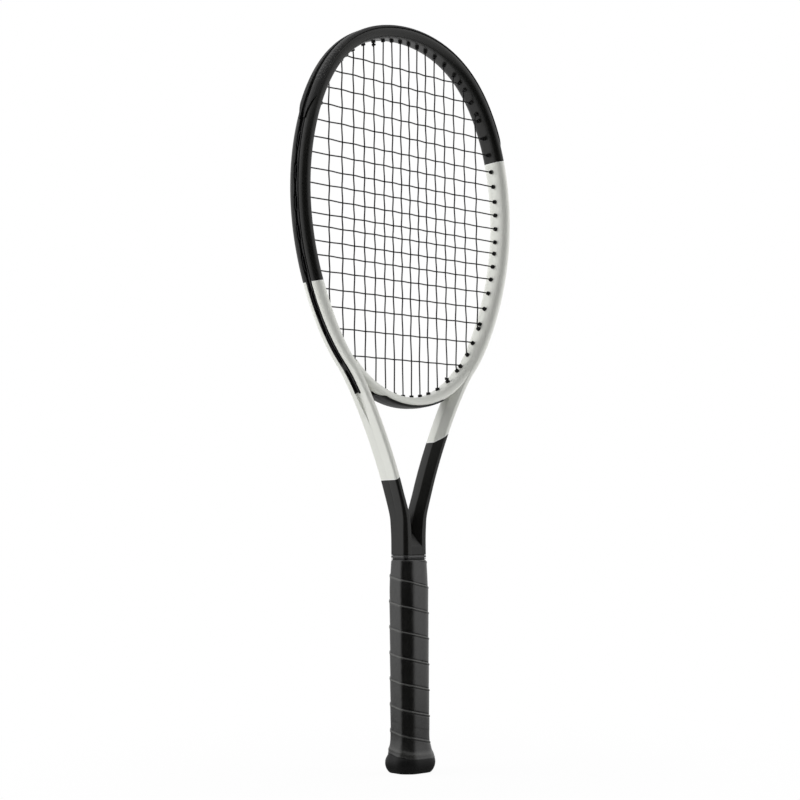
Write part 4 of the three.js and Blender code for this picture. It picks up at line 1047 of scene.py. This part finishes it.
def grip_cover():
    """The wound grip, whose lower end is cut along its last turn above the bare bulb of the butt."""
    base = dense(handle_octagon(0))
    lengths = np.linalg.norm(np.roll(base, -1, 0) - base, axis=1)
    reach = np.concatenate([[0], np.cumsum(lengths)[:-1]]) / lengths.sum()
    corner = np.argmin(np.hypot(base[:, 0] + GRIP_FLAT_WIDTH / 2, base[:, 1] + GRIP_DEPTH / 2))
    share = (reach - reach[corner] + 0.215) % 1.0 - 0.215
    edge_z = np.interp(share, EDGE_SHARE, EDGE_Z)
    edge_z = (np.roll(edge_z, 1) + edge_z + np.roll(edge_z, -1)) / 3
    normals = np.roll(base, -1, 0) - np.roll(base, 1, 0)
    normals = np.stack([normals[:, 1], -normals[:, 0]], 1)
    normals /= np.linalg.norm(normals, axis=1, keepdims=True)
    heights = np.arange(8.0, GRIP_TOP_Z + 0.5, 0.4)
    places = np.arange(len(base))

    def sheet(grow):
        return np.array([dense(handle_octagon(grow(z))) for z in heights])

    def outline_at(rows, z):
        k = np.clip(np.searchsorted(heights, z) - 1, 0, len(heights) - 2)
        t = ((z - heights[k]) / 0.4)[:, None]
        return rows[k, places] * (1 - t) + rows[k + 1, places] * t

    def row_z(above):
        """The row a given height above the lower edge, which turns level further up."""
        return edge_z + above + (LOW_Z - edge_z) * np.clip(above / (STRAIGHT_Z - LOW_Z), 0, 1)

    outside, inside_rows = sheet(grip_grow), sheet(grip_inside)
    rings, worn = [], []
    top = GRIP_TOP_Z - LOW_Z
    body = np.arange(0.8, top - 1.1, 0.38)
    for above in np.concatenate([[0, 0.15, 0.4], body, [top - 0.8, top - 0.3, top]]):
        z = row_z(above)
        trim = 1.0 * max(0, (above - top + 1.0)) ** 2 + 0.3 * max(0, 1 - above / 0.4) ** 2
        hem = np.exp(-(((z - edge_z - 4.4) / 1.9) ** 2))
        height, tint = lap(z, share)
        moved = outline_at(outside, z) + normals * (height * min(1, above / 2) + 0.6 * hem - trim)[:, None]
        rings.append(np.concatenate([moved, z[:, None]], 1))
        # Painted light and shade for each row: the lap's highlighted edges and shaded grooves, lighter
        # along the hem band, and weaker gloss at the cut lower edge.
        worn.append(np.clip(tint + 0.4 * hem - 0.8 * max(0, 1 - above / 0.6), -0.9, 0.9))
    for above in (top, top * 0.5, BULB_TOP_Z + 2 - LOW_Z, BULB_TOP_Z - 1 - LOW_Z, 4.0, 2.0, 0.0):
        z = row_z(above)
        rings.append(np.concatenate([outline_at(inside_rows, z), z[:, None]], 1))
        worn.append(np.zeros(len(z)))
    worn = np.concatenate(worn)
    skin = Skin().loft(rings, closed=True)
    return skin.piece(
        "grip_cover", LEATHER, "grip", ["grip_wrap"], sharp=60, fields=lambda points: {"worn": worn}
    )


def band(name, node_name, low, high, grow, edge, material, slot):
    outer = [(low, grow - edge), (low + edge, grow), (high - edge, grow), (high, grow - edge)]
    levels = [(z, neck_octagon(SEAM + g)) for z, g in outer]
    levels += [(z, neck_octagon(SEAM * 0.2)) for z in (high, low)]
    rings = []
    for z, outline in levels:
        points = dense(outline)
        rings.append(np.concatenate([points, np.full((len(points), 1), z)], 1))
    return Skin().loft(rings, closed=True).piece(name, material, slot, [node_name])


def level(outline, z):
    points = dense(outline)
    return np.concatenate([points, np.full((len(points), 1), z)], 1)


def butt_shell():
    """The butt cap's bare bulb, which runs on under the grip and is open below for the door."""
    heights = [0, 0.15, 0.4, 0.8, 1.4, *np.arange(2.2, BULB_TOP_Z + 0.1, 0.9), BULB_TOP_Z]
    outer = [level(handle_octagon(bulb_grow(z)), z) for z in heights]
    outer.append(level(handle_octagon(-2.4), BULB_TOP_Z))
    hole = octagon(
        DOOR_WIDTH / 2 + SEAM, DOOR_DEPTH / 2 + SEAM,
        DOOR_WIDTH - 2 * DOOR_CORNER, DOOR_DEPTH - 2 * DOOR_CORNER, 0.8,
    )
    inner = [level(hole, z) for z in (9.0, 0.5)]
    inner.append(level(hole + [0.3, 0.3, 0] * np.sign(hole), 0.0))
    return Skin().loft(outer + inner, closed=True).piece("butt_rim", BUTT, "butt_plastic", ["butt_cap"])


def butt_door():
    def plate(grow):
        return octagon(
            DOOR_WIDTH / 2 + grow, DOOR_DEPTH / 2 + grow,
            DOOR_WIDTH - 2 * DOOR_CORNER, DOOR_DEPTH - 2 * DOOR_CORNER, 0.8,
        )

    top = DOOR_RECESS + DOOR_THICKNESS
    keys = [(DOOR_RECESS, -1.4), (DOOR_RECESS, -0.5), (DOOR_RECESS + 0.3, -0.05), (top, 0)]
    skin = Skin().loft([level(plate(grow), z) for z, grow in keys])
    wall = DOOR_WIDTH / 2 - 1.3
    # each tongue and the catch near its end
    tongues = ((1.1, top - 0.3, top + 5.7, wall - 1.05), (0.9, top + 4.6, top + 5.6, wall - 0.45))
    for side in (-1, 1):
        for thick, low, high, x in tongues:
            outline = octagon(thick / 2, 3, thick - 0.3, 5.7, 0.1) + [side * x, 0, 0]
            skin.loft([level(outline, z) for z in (low, high)])
    return skin.piece("butt_door_plate", BUTT, "butt_plastic", ["butt_cap_door"], body="butt_door")


# ---- the racket
frame_shell()
bridge_shell()
bumper()
side_strip(-1, "strip_left", "grommet_strip_left")
side_strip(1, "strip_right", "grommet_strip_right")
bridge_strip()
mains_string()
crosses_string()
tie_off(cross_lefts[TIE_CROSS], RIGHT, "tie_mains_left", "knot_mains_left")
tie_off(side_holes[TIE_CROSS], -RIGHT, "tie_mains_right", "knot_mains_right")
tie_off(left_hole(top_holes[TIE_MAIN]), DOWN, "tie_crosses_top", "knot_crosses_top")
tie_off(bottom_holes[TIE_MAIN + 1], UP, "tie_crosses_bottom", "knot_crosses_bottom")
grip_cover()
COLLAR_TOP = NECK_TOP_Z - SEAM
COLLAR_BOTTOM = COLLAR_TOP - COLLAR_HEIGHT
band("collar_band", "grip_collar", COLLAR_BOTTOM, COLLAR_TOP, COLLAR_THICKNESS, 0.3, RUBBER, "collar")
TAPE_THICKNESS = COLLAR_THICKNESS - 0.1
band("tape_band", "finishing_tape", TAPE_BOTTOM_Z, TAPE_TOP_Z, TAPE_THICKNESS, 0.2, TAPE, "tape")
butt_shell()
butt_door()
for node_name in nodes:
    if node_name.startswith("pallet"):
        nodes[node_name].data.materials.clear()
        nodes[node_name].data.materials.append(FOAM)
    if node_name.startswith("staple"):
        nodes[node_name].data.materials.clear()
        nodes[node_name].data.materials.append(STEEL)


# ---- floor, light and camera
CAMERA_AZIMUTH, CAMERA_ELEVATION, CAMERA_ROLL = (math.radians(d) for d in (-41.65, -4.96, -0.45))
CAMERA_TARGET = np.array([-0.00873, 0.00029, 0.3357])
CAMERA_DISTANCE = 1.4625
FOCAL_PIXELS = 1597
FRAME_PIXELS = 800
WORLD_LEVEL = 0.65
SCREEN_RADIUS = 2.4
SCREEN_HEIGHT = 2.6
SCREEN_SPREAD = math.radians(58)
SCREEN_PANELS = 24
FLAG_START = 0.06


def set_camera():
    az, el, roll = CAMERA_AZIMUTH, CAMERA_ELEVATION, CAMERA_ROLL
    back = np.array([math.sin(az) * math.cos(el), -math.cos(az) * math.cos(el), math.sin(el)])
    right = np.array([math.cos(az), math.sin(az), 0])
    up = np.cross(back, right)
    x = math.cos(roll) * right + math.sin(roll) * up
    y = -math.sin(roll) * right + math.cos(roll) * up
    place = CAMERA_TARGET + back * CAMERA_DISTANCE
    data = bpy.data.cameras.new("camera")
    data.sensor_width = 36
    data.lens = FOCAL_PIXELS / FRAME_PIXELS * 36
    data.clip_end = 50
    camera = bpy.data.objects.new("camera", data)
    bpy.context.scene.collection.objects.link(camera)
    rows = [[x[i], y[i], back[i], place[i]] for i in range(3)] + [[0, 0, 0, 1]]
    camera.matrix_world = Matrix(rows)
    bpy.context.scene.camera = camera


def area_light(name, place, target, size, power):
    data = bpy.data.lights.new(name, "AREA")
    data.shape = "RECTANGLE"
    data.size, data.size_y = size
    data.energy = power
    lamp = bpy.data.objects.new(name, data)
    lamp.visible_glossy = False
    bpy.context.scene.collection.objects.link(lamp)
    z = np.array(place, float) - np.array(target, float)
    z /= np.linalg.norm(z)
    x = np.cross([0, 0, 1.0], z)
    x /= np.linalg.norm(x)
    y = np.cross(z, x)
    lamp.matrix_world = Matrix([[x[i], y[i], z[i], place[i]] for i in range(3)] + [[0, 0, 0, 1]])


def set_world():
    """Dim soft light for surfaces, and plain white for what the camera and gloss see."""
    world = bpy.data.worlds.new("studio")
    bpy.context.scene.world = world
    world.use_nodes = True
    tree = world.node_tree
    background = tree.nodes["Background"]
    path = node(tree, "ShaderNodeLightPath")
    seen = math_node(tree, "MAXIMUM", path.outputs["Is Camera Ray"], path.outputs["Is Glossy Ray"])
    seen = math_node(tree, "MAXIMUM", seen, path.outputs["Is Transmission Ray"])
    strength = math_node(tree, "ADD", math_node(tree, "MULTIPLY", seen, 1 - WORLD_LEVEL), WORLD_LEVEL)
    background.inputs["Color"].default_value = (1, 1, 1, 1)
    link(tree, strength, background.inputs["Strength"])


def set_floor():
    mesh = bpy.data.meshes.new("floor")
    half = 20
    corners = [(-half, -half, 0), (half, -half, 0), (half, half, 0), (-half, half, 0)]
    mesh.from_pydata(corners, [], [[0, 1, 2, 3]])
    floor = bpy.data.objects.new("floor", mesh)
    floor.location.z = -0.0005
    bpy.context.scene.collection.objects.link(floor)
    material, tree, bsdf = shader("floor", (0.9, 0.9, 0.9), 0.9, specular=0.1)
    path = node(tree, "ShaderNodeLightPath")
    glow = node(tree, "ShaderNodeEmission")
    place = node(tree, "ShaderNodeTexCoord").outputs["Object"]
    away = node(tree, "ShaderNodeVectorMath", operation="LENGTH")
    link(tree, place, away.inputs[0])
    fade = node(tree, "ShaderNodeMapRange", interpolation_type="SMOOTHSTEP")
    fade.inputs["From Min"].default_value = 0.1
    fade.inputs["From Max"].default_value = 0.5
    fade.inputs["To Min"].default_value = 0.95
    fade.inputs["To Max"].default_value = 1.0
    link(tree, away.outputs["Value"], fade.inputs["Value"])
    # A painted shadow seen in reflections: within 0.6 m of the middle, the glow that gloss rays see is
    # dimmed, by up to 80 % at 0.1 m.
    near = node(tree, "ShaderNodeMapRange", interpolation_type="SMOOTHSTEP")
    for name, value in (("From Min", 0.1), ("From Max", 0.6), ("To Min", 0.8), ("To Max", 0.0)):
        near.inputs[name].default_value = value
    link(tree, away.outputs["Value"], near.inputs["Value"])
    painted_reflected_shadow = math_node(tree, "MULTIPLY", path.outputs["Is Glossy Ray"], near.outputs["Result"])
    link(tree, math_node(tree, "SUBTRACT", 1.0, painted_reflected_shadow), glow.inputs["Strength"])
    seen = math_node(tree, "MAXIMUM", path.outputs["Is Camera Ray"], path.outputs["Is Transmission Ray"])
    seen = math_node(tree, "MULTIPLY", seen, fade.outputs["Result"])
    seen = math_node(tree, "MAXIMUM", seen, path.outputs["Is Glossy Ray"])
    blend = node(tree, "ShaderNodeMixShader")
    link(tree, seen, blend.inputs[0])
    link(tree, bsdf.outputs[0], blend.inputs[1])
    link(tree, glow.outputs[0], blend.inputs[2])
    link(tree, blend.outputs[0], tree.nodes["Material Output"].inputs["Surface"])
    mesh.materials.append(material)


def set_screen():
    """A black screen round the camera's side and a flag on the floor before it, which darken the
    faces that look that way."""
    middle = math.atan2(-math.cos(CAMERA_AZIMUTH), math.sin(CAMERA_AZIMUTH))
    count = SCREEN_PANELS + 1
    angles = np.linspace(-SCREEN_SPREAD, SCREEN_SPREAD, count) + middle
    row = [(SCREEN_RADIUS * math.cos(a), SCREEN_RADIUS * math.sin(a)) for a in angles]
    points = [(x, y, z) for z in (0.0, SCREEN_HEIGHT) for x, y in row]
    faces = [[i, i + 1, i + count + 1, i + count] for i in range(SCREEN_PANELS)]
    mesh = bpy.data.meshes.new("screen")
    mesh.from_pydata(points, [], faces)
    mesh.materials.append(shader("screen", (0.012, 0.012, 0.012), 0.9, specular=0.0)[0])
    screen = bpy.data.objects.new("screen", mesh)
    bpy.context.scene.collection.objects.link(screen)
    screen.visible_camera = False
    near = [(FLAG_START * math.cos(a), FLAG_START * math.sin(a), 0.0) for a in angles]
    low = near + [(x, y, 0.0) for x, y in row]
    flag_mesh = bpy.data.meshes.new("flag")
    flag_mesh.from_pydata(low, [], faces)
    flag_mesh.materials.append(mesh.materials[0])
    flag = bpy.data.objects.new("flag", flag_mesh)
    bpy.context.scene.collection.objects.link(flag)
    flag.visible_camera = flag.visible_diffuse = flag.visible_shadow = False


set_camera()
set_world()
set_floor()
set_screen()
area_light("key_left", (-1.5, 1.1, 0.9), (0, 0, 0.4), (2.2, 2.2), 30)
area_light("key_right", (1.6, -0.9, 0.9), (0, 0, 0.4), (2.0, 2.2), 22)
bpy.context.scene.view_settings.view_transform = "Standard"
